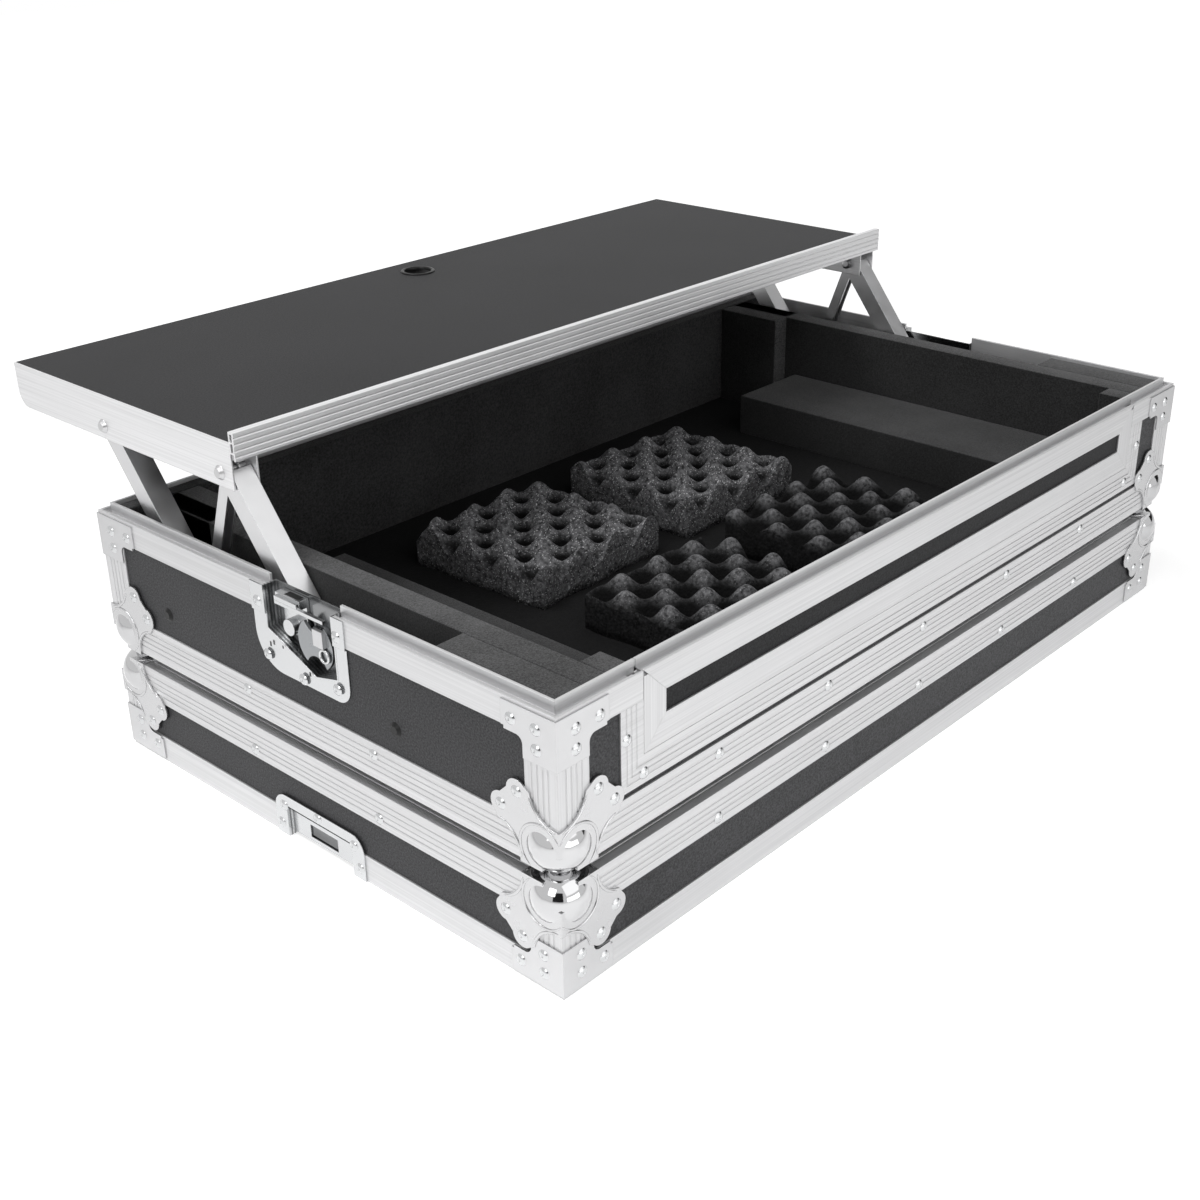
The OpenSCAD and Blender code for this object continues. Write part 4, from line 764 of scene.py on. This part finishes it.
# Egg-crate pads. Convoluted open-cell polyurethane, cut between profiled rollers, so peaks and
# valleys stand in a checkered order, and glued to the floor. Valleys are darkened as painted shade,
# and pale specks are painted highlights of cells, drawn at 1.3 mm so that they show, and mostly on the
# rear pads.
EGG_SIZE = (156 * MM, 154 * MM)
EGG_LOW = 17 * MM
EGG_HIGH = 42 * MM
EGG_WAVE = 23.3 * MM
EGG_POWER = 0.85
EGG_STEPS = 12
EGG_SIDE_ROWS = 5
# Height of a peak against the full one, and how far rows of peaks wander
EGG_UNEVEN = (0.88, 1.0)
EGG_WANDER = 1.2 * MM
# Rows of peaks that a pad may have each way, with two before its corner
EGG_PEAKS = 12
EGG_BEFORE = 2
# Least share on the sawn sides, so that their painted shade stays lighter than the black of the
# valleys
EGG_SIDE_LIGHT_SHARE = 0.5
# Turn in degrees, first peak from the left and the back edge in half waves, tone, which darkens the
# front pads as painted shade, and speckle, the share of painted highlight specks
EGG_PLACES = ((2.0, 0.13, 0.73, 1.0, 1.0), (-2.0, 0.13, 0.52, 1.0, 1.0),
              (1.0, 0.34, 0.26, 0.61, 0.12), (1.0, 1.55, 0.52, 0.65, 0.3))
egg_foam, tree, shader, place = finish_material("open_cell_egg_foam", 0.95, specular=0.15)
cells = add(tree, "TexVoronoi", {"Scale": 430.0, "Randomness": 1.0}, Vector=place)
body_noise = add(tree, "TexNoise", {"Scale": 260.0, "Detail": 2.0}, Vector=place)
body_tone = two_tone(tree, body_noise.outputs["Fac"], "343435", "828284", 0.3, 0.75)
# Pale specks are painted highlights of cells, fewer on the front pads
specks = add(tree, "TexNoise", {"Scale": 760.0, "Detail": 0.0}, Vector=place)
speck_share = add(tree, "MapRange", {"From Min": 0.68, "From Max": 0.76}, Value=specks.outputs["Fac"])
speckle = add(tree, "Attribute", settings={"attribute_name": "speckle"})
speck_share = add(tree, "Math", settings={"operation": "MULTIPLY"}, n0=speck_share.outputs[0],
                  n1=speckle.outputs["Fac"])
speckled = add(tree, "Mix", {"B": linear("CACACC")}, {"data_type": "RGBA"},
               Factor=speck_share.outputs[0], A=body_tone).outputs["Result"]
# Valleys and the front pads are darkened from this attribute: painted shade
height = add(tree, "Attribute", settings={"attribute_name": "relief"})
painted_valley_shade = add(tree, "MapRange", {"From Min": 0.26, "From Max": 0.62, "To Min": 0.02, "To Max": 1.2},
             {"interpolation_type": "SMOOTHSTEP"}, Value=height.outputs["Fac"])
shaded = add(tree, "VectorMath", settings={"operation": "SCALE"}, n0=speckled, Scale=painted_valley_shade.outputs[0])
tree.links.new(shaded.outputs[0], shader.inputs["Base Color"])
bump = add(tree, "Bump", {"Strength": 0.9, "Distance": 0.8 * MM}, Height=cells.outputs["Distance"])
tree.links.new(bump.outputs[0], shader.inputs["Normal"])


def egg_pad(name, turn, first_x, first_y, tone, speckle, seed):
    """Height is low + (high - low) * ((1 + cos(pi (x/wave - a)) cos(pi (y/wave - b))) / 2) ^ 0.85,
    x from the left edge and y from the back edge, with a small seeded unevenness from peak to
    peak, and sawn sides down to a flat underside. The attribute of painted shade is the share of
    the height, raised near the rim and on the sides, times the pad's tone."""
    low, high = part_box(name)
    random = np.random.default_rng(seed)
    nu, nv = [round(size / EGG_WAVE * EGG_STEPS) for size in EGG_SIZE]
    x, y = np.meshgrid(np.linspace(0, EGG_SIZE[0], nu + 1), np.linspace(0, EGG_SIZE[1], nv + 1),
                       indexing="ij")
    u = x / EGG_WAVE - first_x
    v = (EGG_SIZE[1] - y) / EGG_WAVE - first_y
    swell = ((1 + np.cos(math.pi * u) * np.cos(math.pi * v)) / 2) ** EGG_POWER
    uneven = random.uniform(*EGG_UNEVEN, (EGG_PEAKS, EGG_PEAKS))
    tall = uneven[np.rint(u).astype(int) + EGG_BEFORE, np.rint(v).astype(int) + EGG_BEFORE]
    top = np.stack([x - EGG_SIZE[0] / 2, y - EGG_SIZE[1] / 2,
                    EGG_LOW + (EGG_HIGH - EGG_LOW) * swell * tall], -1)
    top[..., 0] += EGG_WANDER * np.sin(2.2 * v + seed)
    top[..., 1] += EGG_WANDER * np.sin(2.0 * u - seed)
    edge = np.concatenate([top[:-1, 0], top[-1, :-1], top[:0:-1, -1], top[0, :0:-1]])
    sides = np.broadcast_to(edge, (EGG_SIDE_ROWS,) + edge.shape).copy()
    sides[..., 2] *= np.linspace(1, 0, EGG_SIDE_ROWS)[:, None]
    points = np.concatenate([top.reshape(-1, 3), sides.reshape(-1, 3), [[0.0, 0.0, 0.0]]])
    start = top.size // 3
    count = len(edge)
    faces = [list(f) for f in grid_faces(nu + 1, nv + 1)[:, ::-1]]
    faces += [list(f) for f in grid_faces(EGG_SIDE_ROWS, count, True)[:, ::-1] + start]
    last = start + (EGG_SIDE_ROWS - 1) * count
    faces += [[last + (k + 1) % count, last + k, len(points) - 1] for k in range(count)]
    angle = math.radians(turn)
    spin = np.array([[math.cos(angle), -math.sin(angle), 0], [math.sin(angle), math.cos(angle), 0],
                     [0, 0, 1]])
    points = points @ spin.T + np.array([(low.x + high.x) / 2, (low.y + high.y) / 2, low.z])
    piece = make_piece(name + "_foam", points, faces, egg_foam, "base")
    relief = piece.data.attributes.new("relief", "FLOAT", "POINT")
    share = np.clip((points[:, 2] - low.z - EGG_LOW) / (EGG_HIGH - EGG_LOW), 0, 1)
    # Near the rim and on the sides the painted shade is lighter, as light reaches into the valleys
    # there
    rim = np.minimum(np.minimum(x, EGG_SIZE[0] - x), np.minimum(y, EGG_SIZE[1] - y)).ravel()
    share[:start] = np.maximum(share[:start], EGG_SIDE_LIGHT_SHARE * (1 - rim / EGG_WAVE))
    share[start:] = np.maximum(share[start:], EGG_SIDE_LIGHT_SHARE)
    relief.data.foreach_set("value", share * tone)
    # Share of painted highlight specks on each pad
    grain = piece.data.attributes.new("speckle", "FLOAT", "POINT")
    grain.data.foreach_set("value", np.full(len(points), speckle))
    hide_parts(name)


for number, (turn, first_x, first_y, tone, speckle) in enumerate(EGG_PLACES, 1):
    egg_pad(f"egg_pad_{number}", turn, first_x, first_y, tone, speckle, number)
